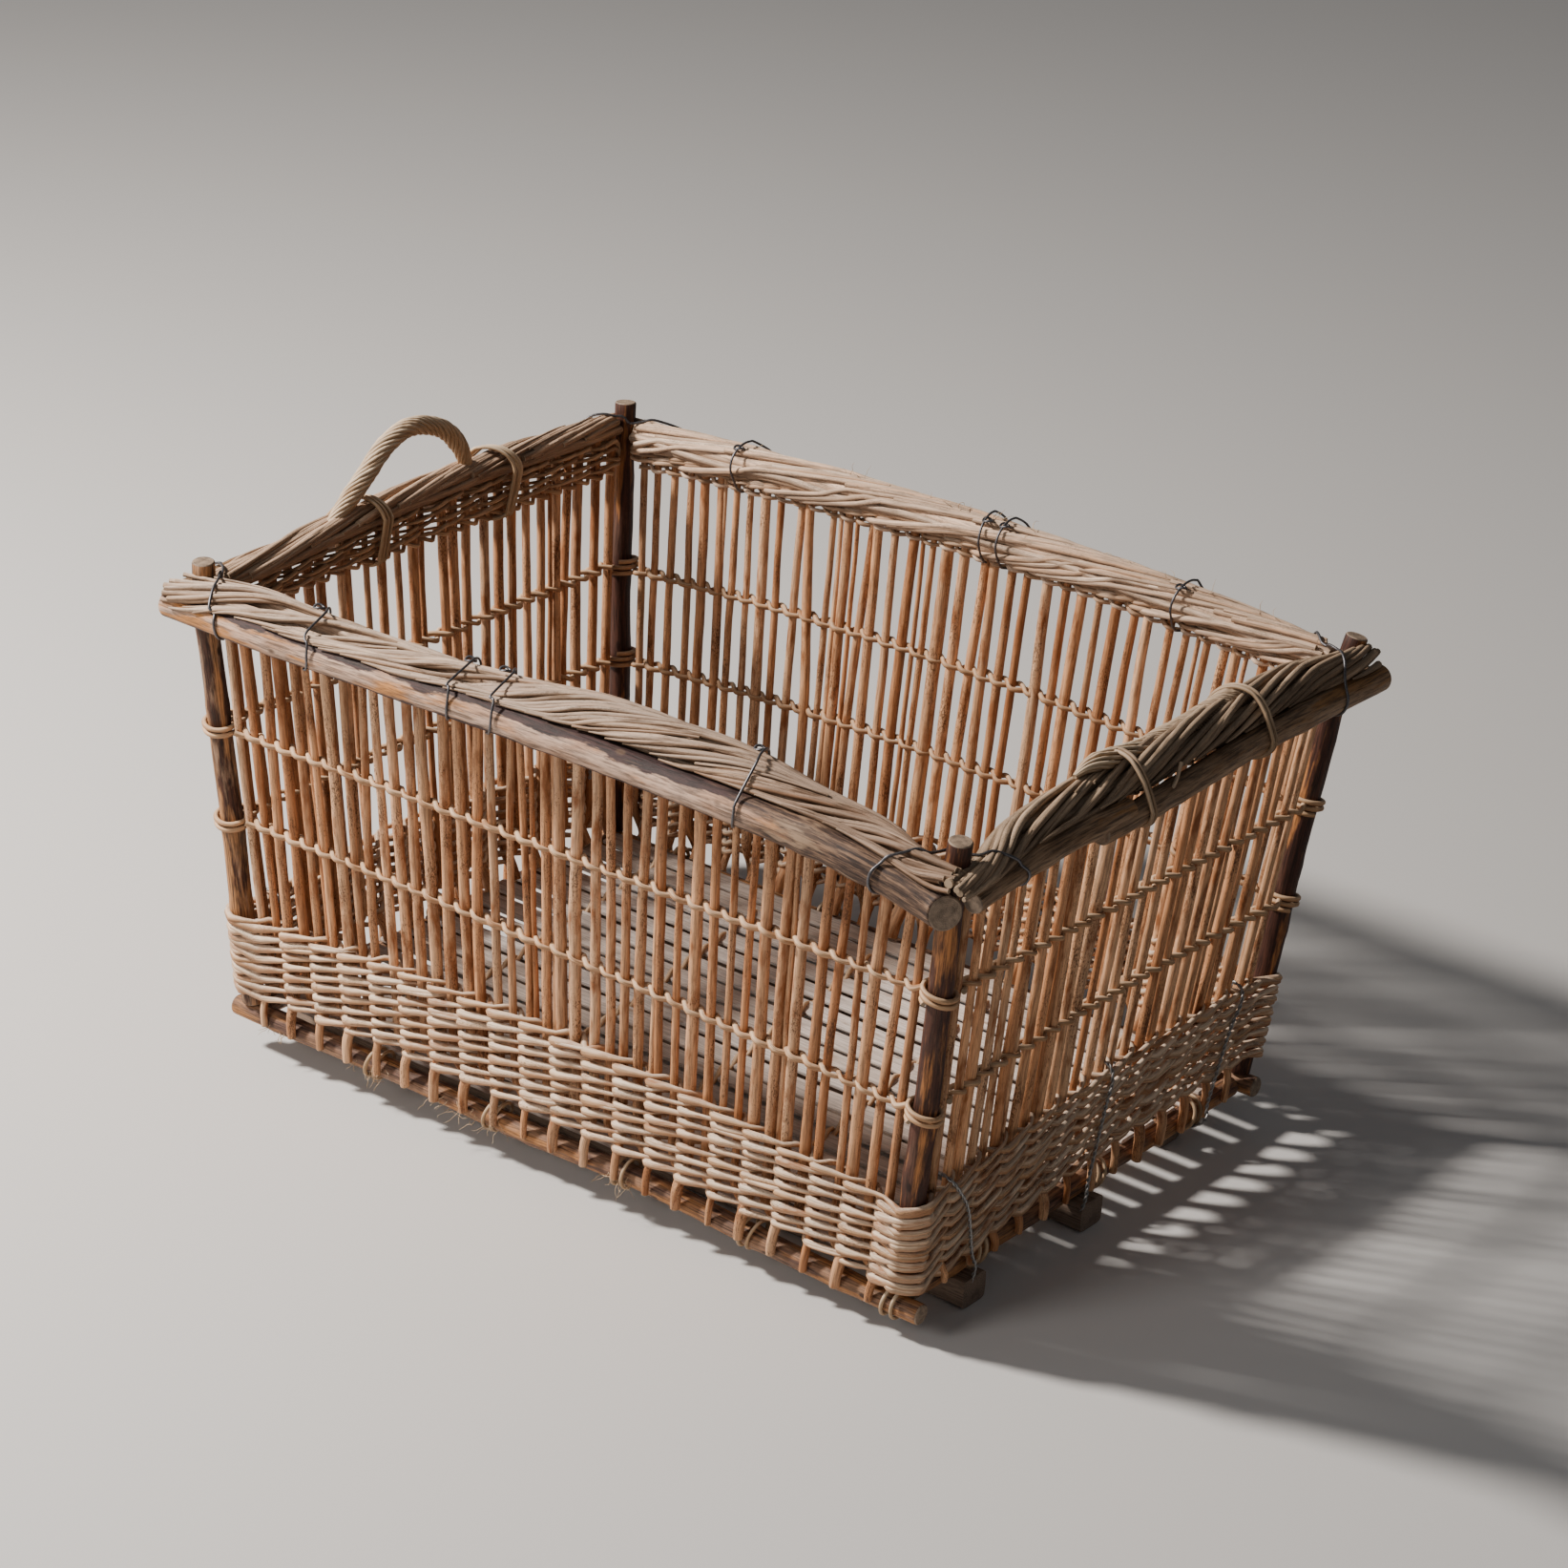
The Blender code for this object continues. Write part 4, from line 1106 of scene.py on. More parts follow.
def border_rod(side, tip, dice, butt=True):
    """One rod from its tip outside, over the top and down inside to where it came up."""
    first = dice.uniform(0.03, 0.35)
    last = dice.uniform(2.75, 3.30) if butt else dice.uniform(2.2, 2.7)
    length = (last - first) / (DRIFT * dice.uniform(0.85, 1.20))
    thick = dice.uniform(0.0034, 0.0046) if side == "right" else dice.uniform(0.0027, 0.0039)
    lie = dice.uniform(-0.0014, 0.0022)
    wave, phase = dice.uniform(0.01, 0.07), dice.uniform(0, 6)
    points = []
    radii = []
    steps = max(int(length / 0.018), 8)
    for k in range(steps + 1):
        t = k / steps
        u = tip + length * t
        angle = first + (last - first) * t + wave * math.sin(8 * t + phase)
        v, z = bundle_point(side, u, angle, lie + dice.gauss(0, 0.0002))
        if beyond_end(side, u, v):
            if points and u > 0:
                break
            continue
        points.append(place(side, u, v, z))
        radii.append(thick * (0.28 + 0.72 * min(1, length * t / 0.05)) * dice.uniform(0.95, 1.05))
    else:
        pitch = 2 * stake_reach(side, STAKE_TOPS) / (STAKES[side] - 1)
        for steps_on, v, drop in BUTT_WAY if butt and side != "left" else ():
            u = tip + length + steps_on * pitch
            if abs(u) < reach(side, STAKE_TOPS) - 0.030:
                share = u / stake_reach(side, STAKE_TOPS)
                points.append(place(side, u, v, arch(BORDER_LINE, side, share) - drop))
                radii.append(thick * 1.05)
    if len(points) < 4:
        return [], []
    path, _ = smooth_path(points, max(int(len(points) * 1.2), 5))
    return path, np.interp(np.linspace(0, 1, len(path)), np.linspace(0, 1, len(radii)), radii)


print("a border rod turns about", DRIFT, "radians for each metre")

# %% [markdown]
# A new rod starts at about every stake, so about fifteen lie side by side. Some thin stray rods lie on top,
# and a few straight ones underneath and inside make the dark core that shows between them.

# %% Lay the border
def make_borders():
    for number, side in enumerate(SIDES):
        dice = random.Random(80 + number)
        full = rim_reach(side)
        pitch = 2 * (full - STAKE_MARGIN) / (STAKES[side] - 1)
        rods = []
        tip = -full - 0.40
        while tip < full:
            start = tip + dice.uniform(-0.008, 0.008)
            butt = dice.random() < (0.55 if side == "back" else 0.85)
            rods.append(border_rod(side, start, dice, butt))
            tip += pitch * (1.15 if side == "right" else 0.94)
        for _ in range(int(full / 0.045)):
            start, angle = dice.uniform(-full, full - 0.17), dice.uniform(0.2, 2.2)
            way = [(start + 0.02 * k, angle + 0.15 * k) for k in range(8)]
            shapes = [(u, *bundle_point(side, u, turn, 0.0028)) for u, turn in way]
            path = [place(side, *at) for at in shapes if not beyond_end(side, at[0], at[1])]
            rods.append((path, [0.0016] * len(path)))
        ends = (-full + POST_RADIUS + 0.004, full - POST_RADIUS - 0.004)
        along = [ends[0] + (ends[1] - ends[0]) * k / 24 for k in range(25)]
        for angle in (3.5, 3.95, 4.4, 4.85, 5.3):
            turns = [angle + 0.22 * math.sin(1.3 * k) for k in range(25)]
            under = [bundle_point(side, u, turn, -0.001) for u, turn in zip(along, turns)]
            rods.append(([place(side, u, min(v, 0.016), z) for u, (v, z) in zip(along, under)], 0.0042))
        for angle, inside in ((2.9, -0.0115), (1.9, -0.0105), (0.9, -0.0105)):
            rods.append(([place(side, u, *bundle_point(side, u, angle, inside)) for u in along], 0.0088))
        rods = [rod for rod in rods if len(rod[0]) > 3]
        piece = make_rods("border_rods_" + side, rods, BORDER_WILLOW[side], 8, 2, 0.10, 0.012, 91 + number)
        settle(piece, "grey_willow", "border_" + side)


make_borders()

# %% [markdown]
# The poles keep their bark. It is worn in places down to orange wood, greyed by weather on the rim and
# dark purple-brown on the posts, and it cracks along the grain. The recipe lays wide worn patches over the
# bark and breaks it with long cracks and a few knots. The front pole also has a dark streak of bark along
# its top and painted shade along its underside, and its right end is dark with age.

# %% Write the pole bark recipe
def pole_bark(name, bark_tone, worn, pale, worn_share, pale_share, **look):
    """bark_tone: the bark. worn: bare orange wood. pale: weathered bark. Shares are between 0 and 1."""
    made, tree, shader = start_finish(name)
    bark = attribute(tree, "bark", "Vector")
    spread = stretched(tree, bark, (2.6, 2.6, 1.0))
    wide = noise(tree, stretched(tree, spread, (1, 1, 0.16)), 46, 5.0, 0.6)
    fine = noise(tree, stretched(tree, spread, (1, 1, 0.07)), 420, 6.0, 0.7)
    other = noise(tree, stretched(tree, spread, (1, 1, 0.24)), 63, 5.0, 0.6)
    stops = ((0.40, scaled(bark_tone, 0.40)), (0.51, bark_tone), (0.62, scaled(bark_tone, 1.5)))
    colour = ramp(tree, fine, stops)
    weathered = (
        (other, 0.58 - 0.40 * pale_share, 0.74 - 0.38 * pale_share, pale),
        (wide, 0.63 - 0.25 * worn_share, 0.70 - 0.22 * worn_share, worn),
    )
    for patches, low, high, tone in weathered:
        over = ramp(tree, fine, ((0.40, scaled(tone, 0.42)), (0.55, tone)))
        colour = blend(tree, mask(tree, patches, low, high), colour, over)
    if "streak_and_underside_shade" in look:
        up = attribute(tree, "up")
        dark = ramp(tree, fine, ((0.42, scaled(look["streak_and_underside_shade"], 0.45)), (0.60, scaled(look["streak_and_underside_shade"], 1.7))))
        above = arithmetic(tree, "MULTIPLY_ADD", other, 1.3, up)
        # Painted shade: the same dark tone along the pole's underside, while the one along its top is a
        # streak of bark.
        below = arithmetic(tree, "MULTIPLY_ADD", other, 1.1, arithmetic(tree, "MULTIPLY", up, -1.0))
        colour = blend(tree, mask(tree, above, 1.18, 1.27), colour, dark)
        colour = blend(tree, mask(tree, below, 1.12, 1.26), colour, dark)
    if "dark_from" in look:
        far = arithmetic(tree, "MULTIPLY_ADD", other, 0.30, attribute(tree, "along"))
        stops = zip((0.41, 0.5, 0.60), ((0.030, 0.017, 0.013), (0.095, 0.056, 0.038), (0.24, 0.145, 0.09)))
        aged = ramp(tree, fine, tuple(stops))
        aged = blend(tree, mask(tree, wide, 0.56, 0.60), aged, (0.27, 0.18, 0.115))
        start = look["dark_from"]
        colour = blend(tree, mask(tree, far, start + 0.12, start + 0.20), colour, aged)
    cracks = noise(tree, stretched(tree, spread, (1, 1, 0.035)), 300, 3.0, 0.5)
    crack_mask = ramp(tree, cracks, ((0.35, grey(0.75)), (0.40, grey(0))))
    colour = blend(tree, crack_mask, colour, scaled(bark_tone, 0.25))
    knots = add_node(tree, "ShaderNodeTexVoronoi", Vector=stretched(tree, spread, (1, 1, 0.6)), Scale=26.0)
    knot_mask = ramp(tree, knots.outputs["Distance"], ((0.06, grey(0.9)), (0.11, grey(0))))
    colour = blend(tree, knot_mask, colour, scaled(bark_tone, 0.30))
    sawn = rings(tree, bark, SAWN_POLE, 0.8, 260, 0.0015, 9000.0)
    dirt = ramp(tree, noise(tree, bark, 300, 5.0), ((0.35, grey(0.55)), (0.65, grey(1.1))))
    colour = blend(tree, is_sawn(tree, 0.0012), colour, blend(tree, 1.0, sawn, dirt, "MULTIPLY"))
    matt = arithmetic(tree, "MULTIPLY_ADD", fine, 0.4, 0.40)
    height = arithmetic(tree, "MULTIPLY_ADD", fine, 0.8, arithmetic(tree, "MULTIPLY", other, 0.8))
    join_skin(tree, shader, colour, matt, height, look.get("bump", 0.9), 0.0016)
    return made


print("recipe ready:", pole_bark.__name__)

# %% [markdown]
# Each pole gets its own tones: the front rim pole is the palest and most worn, the two at the ends are
# dark, the posts are nearly black where their bark is left, and the front left post is the most worn.

# %% Mix the bark finishes
DARK_TONES = ((0.20, 0.115, 0.060), (0.38, 0.19, 0.075), (0.36, 0.23, 0.14))
DARK_POLE = pole_bark("dark_pole_bark", *DARK_TONES, 0.35, 0.45)
FRONT_LOOKS = {"streak_and_underside_shade": (0.036, 0.018, 0.017), "dark_from": 0.78}
FRONT_TONES = ((0.36, 0.215, 0.14), (0.56, 0.25, 0.085), (0.58, 0.40, 0.30))
BACK_TONES = ((0.30, 0.20, 0.14), (0.48, 0.25, 0.11), (0.50, 0.38, 0.29))
RIM_BARK = {
    "front": pole_bark("front_pole_bark", *FRONT_TONES, 0.50, 0.52, **FRONT_LOOKS),
    "right": DARK_POLE,
    "back": pole_bark("back_pole_bark", *BACK_TONES, 0.35, 0.5),
    "left": DARK_POLE,
}
POST_TONES = ((0.056, 0.020, 0.012), (0.42, 0.17, 0.055), (0.12, 0.055, 0.035))
POST_BARK = pole_bark("post_bark", *POST_TONES, 0.30, 0.12, bump=0.6)
OLD_POST_TONES = ((0.062, 0.024, 0.013), (0.46, 0.22, 0.09), (0.42, 0.26, 0.16))
OLD_POST_BARK = pole_bark("old_post_bark", *OLD_POST_TONES, 0.48, 0.24)
BASE_BARK = pole_bark("base_bark", (0.115, 0.062, 0.045), (0.46, 0.21, 0.08), (0.34, 0.19, 0.11), 0.58, 0.40)
print("bark finishes:", [m.name for m in (*RIM_BARK.values(), POST_BARK, OLD_POST_BARK, BASE_BARK)])

# %% [markdown]
# Poles are rods too, only thick ones with more sides. Real cut poles are never straight or round, so each
# path sways in long waves, the thickness swells at a few knots, and the last millimetres at each end
# narrow a little, as a saw and years of handling leave them. The rim poles come first.

# %% Set the rim poles
def pole(path, thick, dice, sway=0.0018, knot_count=4, knot=0.09, edge=0.0022):
    """A pole along a path given as a function of a share, with chamfered ends."""
    start, end = np.array(path(0.0)), np.array(path(1.0))
    length = np.linalg.norm(end - start)
    count = max(int(length / 0.010), 8)
    shares = [0, 0.4 * edge / length, edge / length, *(k / count for k in range(1, count))]
    shares += [1 - edge / length, 1 - 0.4 * edge / length, 1]
    waves = [(dice.uniform(0.7, 3.6), dice.uniform(0, 6.3), axis) for axis in (0, 1, 2) for _ in range(2)]
    knots = [(dice.uniform(0.05, 0.95), dice.uniform(0.4, 1.0) * knot) for _ in range(knot_count)]
    points = []
    radii = []
    for share in shares:
        point = np.array(path(share), float)
        for turns, phase, axis in waves:
            point[axis] += 0.5 * sway * math.sin(2 * math.pi * turns * share + phase)
        points.append(tuple(point))
        here = thick[0] + (thick[1] - thick[0]) * share
        here *= 1 + sum(size * math.exp(-(((share - at) * length / 0.011) ** 2)) for at, size in knots)
        gap = min(share, 1 - share) * length
        radii.append(here * (0.88 if gap == 0 else 0.955 if gap < 0.5 * edge else 1))
    return points, radii


def make_rim_poles():
    for number, side in enumerate(SIDES):
        dice = random.Random(120 + number)
        rods = []
        for index, (_, thick0, thick1, *places) in enumerate(RIM_POLES[side]):
            first, last = places[0][0], places[-1][0]

            def path(share, side=side, index=index, first=first, last=last):
                u = first + (last - first) * share
                v, z, _ = rim_pole_at(side, u, index)
                return place(side, u, v, z)

            rods.append(pole(path, (thick0, thick1), dice, 0.0, 6, 0.09))
        piece = make_rods("rim_pole_bark_" + side, rods, RIM_BARK[side], 32, 1, 0.035, 0.03, 131 + number)
        settle(piece, "weathered_pole", "rim_pole_" + side)


make_rim_poles()

# %% [markdown]
# The four posts lean with the sides. They stand on the level of the floor and end above the border. A path
# that is a function of height keeps them in line with the walls, and two of their tops are bent a little,
# as the photograph shows.

# %% Set the posts
POST_FOOT = 0.0590
POST_BENDS = {"back_right": (0.003, 0.011), "front_left": (0.006, 0.0)}


def make_posts():
    for number, (x, y) in enumerate(((-1, -1), (1, -1), (1, 1), (-1, 1))):
        name = ("front" if y < 0 else "back") + "_" + ("left" if x < 0 else "right")
        dice = random.Random(140 + number)
        bend_x, bend_y = POST_BENDS.get(name, (0, 0))

        def path(share, x=x, y=y, bend_x=bend_x, bend_y=bend_y):
            z = POST_FOOT + (POST_TOP - POST_FOOT) * share
            bend = max(0, share - 0.86) / 0.14
            return (x * half_length(z) + bend_x * bend, y * half_width(z) + bend_y * bend, z)

        rod = pole(path, (POST_RADIUS * 1.02, POST_RADIUS * 0.98), dice, 0.0012, 5, 0.08, 0.0016)
        bark = OLD_POST_BARK if name == "front_left" else POST_BARK
        piece = make_rods("post_bark_" + name, [rod], bark, 24, 1, 0.03, 0.02, 151 + number)
        settle(piece, "bark", "post_" + name)


make_posts()

# %% [markdown]
# The base poles lie under the walls, between the feet outside and the other stakes inside. Their ends stand
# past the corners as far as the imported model's do, so their length is read from it.

# %% Set the base poles
def make_base_poles():
    for number, side in enumerate(SIDES):
        dice = random.Random(160 + number)
        low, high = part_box("base_pole_" + side)
        axis = 0 if side in ("front", "back") else 1
        half = (high[axis] - low[axis]) / 2
        full = stake_reach(side, BASE_HEIGHT)

        def path(share, side=side, half=half, full=full):
            u = half * (2 * share - 1)
            z = BASE_HEIGHT - base_drop(side, u / full)
            point = place(side, u, 0, BASE_HEIGHT)
            return (point[0], point[1], z)

        thick = BASE_POLE_RADIUS * 0.98
        rod = pole(path, (thick, thick), dice, 0.0012, 6, 0.12)
        piece = make_rods("base_pole_bark_" + side, [rod], BASE_BARK, 20, 1, 0.04, 0.02, 171 + number)
        settle(piece, "bark", "base_pole_" + side)


make_base_poles()

# %% [markdown]
# The floor is a mat of split laths, flat strips with uneven edges, and thin pairs of rods woven across.
# Boxes would look sawn, and a lath is split, so a strip gets a small tree of its own: a flat section swept
# along each line, its width taken from the path's thickness. The circle's points are pushed out to a
# square with round corners, which gives the strip a soft edge.

# %% Build the tree for flat split strips
def squared(tree, value):
    """Pushes a point of a circle outwards to a square with round corners."""
    size = arithmetic(tree, "ABSOLUTE", value)
    bent = arithmetic(tree, "POWER", size, 0.32)
    return arithmetic(tree, "MULTIPLY", bent, arithmetic(tree, "SIGN", value))


def strips_tree():
    sockets = (
        ("Thickness", "NodeSocketFloat", 0.005),
        ("Uneven", "NodeSocketFloat", 0.06),
        ("Smoothness", "NodeSocketInt", 4),
        ("Seed", "NodeSocketInt", 1),
        ("Finish", "NodeSocketMaterial", None),
    )
    tree = new_tree("Strips along paths", sockets)
    given = tree.nodes.new("NodeGroupInput").outputs
    curve = smooth_paths(tree, given)
    curve = add_node(tree, "GeometryNodeSetCurveNormal", {"mode": "Z_UP"}, Curve=curve).outputs[0]
    curve = store(tree, curve, "wide", "FLOAT", "POINT", read(tree, "GeometryNodeInputRadius"))
    curve = label_paths(tree, curve, given["Seed"])
    mesh, split = sweep(tree, curve, 14, 0.00001)
    here = read(tree, "GeometryNodeInputPosition")
    rough = add_node(tree, "ShaderNodeTexNoise", Vector=here, Scale=28.0, Detail=3.0).outputs[0]
    rough = arithmetic(tree, "MULTIPLY_ADD", rough, 2.0, -1.0)
    swell = arithmetic(tree, "MULTIPLY_ADD", rough, given["Uneven"], 1.0)
    sizes = (named(tree, "wide", "FLOAT"), arithmetic(tree, "MULTIPLY", given["Thickness"], 0.5))
    flat = [arithmetic(tree, "MULTIPLY", squared(tree, split[i]), sizes[i]) for i in (0, 1)]
    sideways, height = (arithmetic(tree, "MULTIPLY", part, swell) for part in flat)
    shift = add_node(tree, "ShaderNodeCombineXYZ", X=0.0, Y=sideways, Z=height).outputs[0]
    mesh = add_node(tree, "GeometryNodeSetPosition", Geometry=mesh, Offset=shift).outputs[0]
    mesh = store_bark(tree, mesh, sideways, height)
    mesh = store(tree, mesh, "cut", "FLOAT", "POINT", 1.0)
    mesh = store(tree, mesh, "up", "FLOAT", "POINT", 0.0)
    return end_tree(tree, mesh, False, given["Finish"])


STRIPS = strips_tree()


def make_strips(name, strips, finish, thickness, uneven, seed):
    """One mesh of flat strips along X. A strip is (points, half widths)."""
    values = {"Thickness": thickness, "Uneven": uneven, "Seed": seed, "Finish": finish}
    return run_tree(paths_object(name, strips), STRIPS, values, name)


print("the strips tree has", len(STRIPS.nodes), "nodes")

# %% [markdown]
# Dry split wood is grey with a pale sheen, and its grain is long and straight. Old dust lies in it. The
# same willow recipe serves with grey tones and a stronger grain. Five pairs of thin willow cross the
# laths, over one and under the next, a little slantwise.

# %% Lay the floor
SPLIT_WOOD = willow(
    "split_wood",
    ((0.66, 0.57, 0.51), (0.76, 0.67, 0.61), (0.54, 0.45, 0.39), (0.70, 0.59, 0.51)),
    (0.38, 0.28, 0.22), 0.66, 0.15, 0.15, shade=0.8, bump=0.6, roughness=0.75,
)
LATH_COUNT = 16
FLOOR_Z = 0.0614
FLOOR_ROWS = (-0.3105, -0.1435, 0.0235, 0.1905, 0.3575)


def make_floor():
    dice = random.Random(200)
    low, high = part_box("floor")
    pitch = (high.y - low.y) / LATH_COUNT
    laths = []
    for i in range(LATH_COUNT):
        y = low.y + (i + 0.5) * pitch
        reach_x = high.x - 0.001 - (0.014 if i in (0, LATH_COUNT - 1) else 0)
        half = pitch / 2 - dice.uniform(0.0038, 0.0066)
        points = [(-reach_x + 2 * reach_x * k / 8, y + dice.gauss(0, 0.0007), FLOOR_Z) for k in range(9)]
        laths.append((points, half))
    settle(make_strips("floor_laths", laths, SPLIT_WOOD, 0.0052, 0.05, 5), "split_wood", "floor")
    rods = []
    for x in FLOOR_ROWS:
        for strand in (0, 1):
            points = []
            for i in range(2 * LATH_COUNT + 1):
                y = low.y + 0.018 + (high.y - low.y - 0.036) * i / (2 * LATH_COUNT)
                way = 1 if (i // 2 + strand) % 2 else -1
                across, up = (0.0034 * way, 0) if i % 2 == 0 else (0, 0.0050 * way)
                points.append((x - 0.14 * y + across, y, FLOOR_Z + up))
            rods.append((points, 0.0030))
    settle(make_rods("floor_pairs", rods, PAIR_WILLOW, 6, 3, 0.06, 0.01, 211), "peeled_willow")


make_floor()

# %% [markdown]
# Three runners carry the basket. They are split from a log, darker than the laths, and each takes its
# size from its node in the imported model, so that it meets the ground and the base poles.

# %% Lay the runners
RUNNER_WOOD = willow(
    "runner_wood",
    ((0.30, 0.21, 0.15), (0.34, 0.25, 0.19), (0.27, 0.19, 0.14)),
    (0.17, 0.12, 0.09), 0.55, 0.4, 0.15, bump=0.7, roughness=0.8,
)


def make_runners():
    for name in ("front", "middle", "back"):
        low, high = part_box("runner_" + name)
        y = (low.y + high.y) / 2
        z = (low.z + high.z) / 2
        half = (high.y - low.y) / 2 - 0.0006
        points = [(low.x + (high.x - low.x) * k / 10, y, z) for k in range(11)]
        piece = make_strips("runner_wood_" + name, [(points, half)], RUNNER_WOOD, 0.0330, 0.018, 7)
        settle(piece, "split_wood", "runner_" + name)


make_runners()

# %% [markdown]
# A rope handle is ten to seventeen thin rods twisted together, and the path of the whole rope comes first.
# Each rod then winds round that path at a small distance, which is how a real rope is laid. To wind
# evenly it needs two directions across the path that turn with it and don't twist by themselves.

# %% Twist rods into a rope
def frames_along(path):
    """A sideways and an upward direction at each point, carried along without twist."""
    ahead = np.gradient(path, axis=0)
    ahead /= np.linalg.norm(ahead, axis=1)[:, None]
    guide = np.array([1.0, 0, 0]) if abs(ahead[0][0]) < 0.8 else np.array([0, 1.0, 0])
    sideways = []
    for t in ahead:
        guide = guide - t * guide.dot(t)
        guide /= np.linalg.norm(guide)
        sideways.append(guide)
    sideways = np.array(sideways)
    return sideways, np.cross(ahead, sideways)


def twisted(points, strands, radius, thick, lay, dice, count=60, taper=0.0, flat=1.0):
    """Thin rods wound round a path. lay is the length of one full turn."""
    path, length = smooth_path(points, count)
    sideways, upward = frames_along(path)
    rods = []
    for k in range(strands):
        phase = 2 * math.pi * k / strands
        size = thick * dice.uniform(0.88, 1.1)
        rod = []
        radii = []
        for i in range(count):
            t = i / (count - 1)
            angle = phase + 2 * math.pi * length * t / lay
            narrow = 1 - taper * max(0, 1 - 6 * min(t, 1 - t))
            offset = sideways[i] * math.cos(angle) * flat + upward[i] * math.sin(angle)
            rod.append(tuple(path[i] + offset * radius * narrow * dice.uniform(0.97, 1.03)))
            radii.append(size * (1 - 0.4 * taper * max(0, 1 - 6 * min(t, 1 - t))))
        rods.append((rod, radii))
    return rods


HANDLE_WILLOW = willow(
    "handle_willow",
    ((0.62, 0.44, 0.27), (0.72, 0.55, 0.37), (0.50, 0.33, 0.19), (0.66, 0.48, 0.31)),
    (0.34, 0.21, 0.11), 0.55, 0.3, 0.25, (0.78, 0.65, 0.50),
)
# Painted shade: the right handle is darker partly because that side lies in shade, and partly because its
# wood is darker.
DARK_AND_SHADED_HANDLE = willow(
    "dark_and_shaded_handle_willow",
    ((0.42, 0.29, 0.18), (0.54, 0.39, 0.26), (0.31, 0.20, 0.12), (0.48, 0.34, 0.22)),
    (0.18, 0.11, 0.06), 0.50, 0.4, 0.3, (0.60, 0.47, 0.35),
)
print("handle finishes:", HANDLE_WILLOW.name, DARK_AND_SHADED_HANDLE.name)

# %% [markdown]
# Lashings and wires go round the whole rim: border, rim pole and top weave. Such a loop is tight, so it is
# the hull of what it ties. In each of 24 directions the furthest of four ellipses is taken, and the
# corners between neighbouring directions are the loop's points. The loop may lean along the side.

# %% Find a tight loop round the rim
def rim_hull(side, share, clear):
    """A loop round border, rim pole and top weave at one place of a side."""
    border = arch(BORDER_LINE, side, share)
    u = share * stake_reach(side, border)
    pole_v, pole_z, pole_r = rim_pole_at(side, u)
    out = outer_width(side, share)
    rest = bundle_point(side, u, 0.15)[1]
    shapes = (
        (-0.002, border, BORDER_IN[side] + 0.0060, BORDER_TALL[side] + 0.0078),
        (out - 0.0060, rest, 0.0095, 0.0070),
        (pole_v, pole_z, pole_r * 1.02, pole_r * 1.02),
        (0.0, arch(WEAVE_LINE, side, share) + 0.004, 0.0110, 0.006),
    )
    steps = 24
    lines = []
    for k in range(steps):
        angle = 2 * math.pi * k / steps
        c, s = math.cos(angle), math.sin(angle)
        furthest = max(v * c + z * s + math.hypot(a * c, b * s) for v, z, a, b in shapes)
        lines.append((angle, clear + furthest))
    points = []
    for k in range(steps):
        (a1, h1), (a2, h2) = lines[k], lines[(k + 1) % steps]
        det = math.sin(a2 - a1)
        v = (h1 * math.sin(a2) - h2 * math.sin(a1)) / det
        z = (h2 * math.cos(a1) - h1 * math.cos(a2)) / det
        points.append((v, z))
    return points


def loop_at(side, share, clear, lean=0.0):
    """The hull loop as places, leaning along the side as it goes round."""
    hull = rim_hull(side, share, clear)
    made = []
    for k, (v, z) in enumerate(hull):
        slant = lean * math.cos(2 * math.pi * k / len(hull))
        u = share * stake_reach(side, z) + slant
        made.append(place(side, u, v, z))
    return made


def lashing(side, u, dice, radius=0.0026, count=2, lean=0.006):
    """Loops of thin willow side by side round the whole rim."""
    share = u / stake_reach(side, 0.555)
    loops = []
    for k in range(count):
        at = share + k * 2.7 * radius / reach(side, 0.555)
        slant = lean + dice.uniform(-0.002, 0.002)
        loops.append((loop_at(side, at, radius + 0.0006 * k, slant), radius, True))
    return loops


print("a loop on the front rim starts at", [round(at, 4) for at in loop_at("front", 0, 0.0014)[0]])

# %% [markdown]
# The left handle stands up in a high bow. Eleven points read from the photograph give the bow, and the
# rope's helper does the rest. Its rods narrow where they go down into the border, and two lashings of three
# turns hold them there.

# %% Make the left handle
def make_left_handle():
    dice = random.Random(300)
    x = -0.4985
    bow = (
        (-0.163, 0.562), (-0.150, 0.573), (-0.132, 0.588), (-0.0985, 0.615), (-0.0729, 0.638),
        (-0.0404, 0.6520), (-0.0092, 0.6510), (0.027, 0.6375), (0.052, 0.617), (0.067, 0.594), (0.075, 0.570),
    )
    rods = twisted([(x, y, z) for y, z in bow], 12, 0.0088, 0.0025, 0.12, dice, 80, 0.45)
    rods.append(([(x, y, z) for y, z in bow], 0.0078))
    rods += lashing("left", 0.092, dice, 0.0021, 3, 0.008) + lashing("left", -0.122, dice, 0.0022, 3, 0.016)
    piece = make_rods("rope_handle_left", rods, HANDLE_WILLOW, 8, 3, 0.05, 0.01, 311)
    settle(piece, "peeled_willow", "handle_left")


make_left_handle()

# %% [markdown]
# The right handle lies low on its border. Half of it is bare strands that run on from the border, and the
# other half is wrapped thickly, with the turns close together. One loose tail sticks out of its lashing.

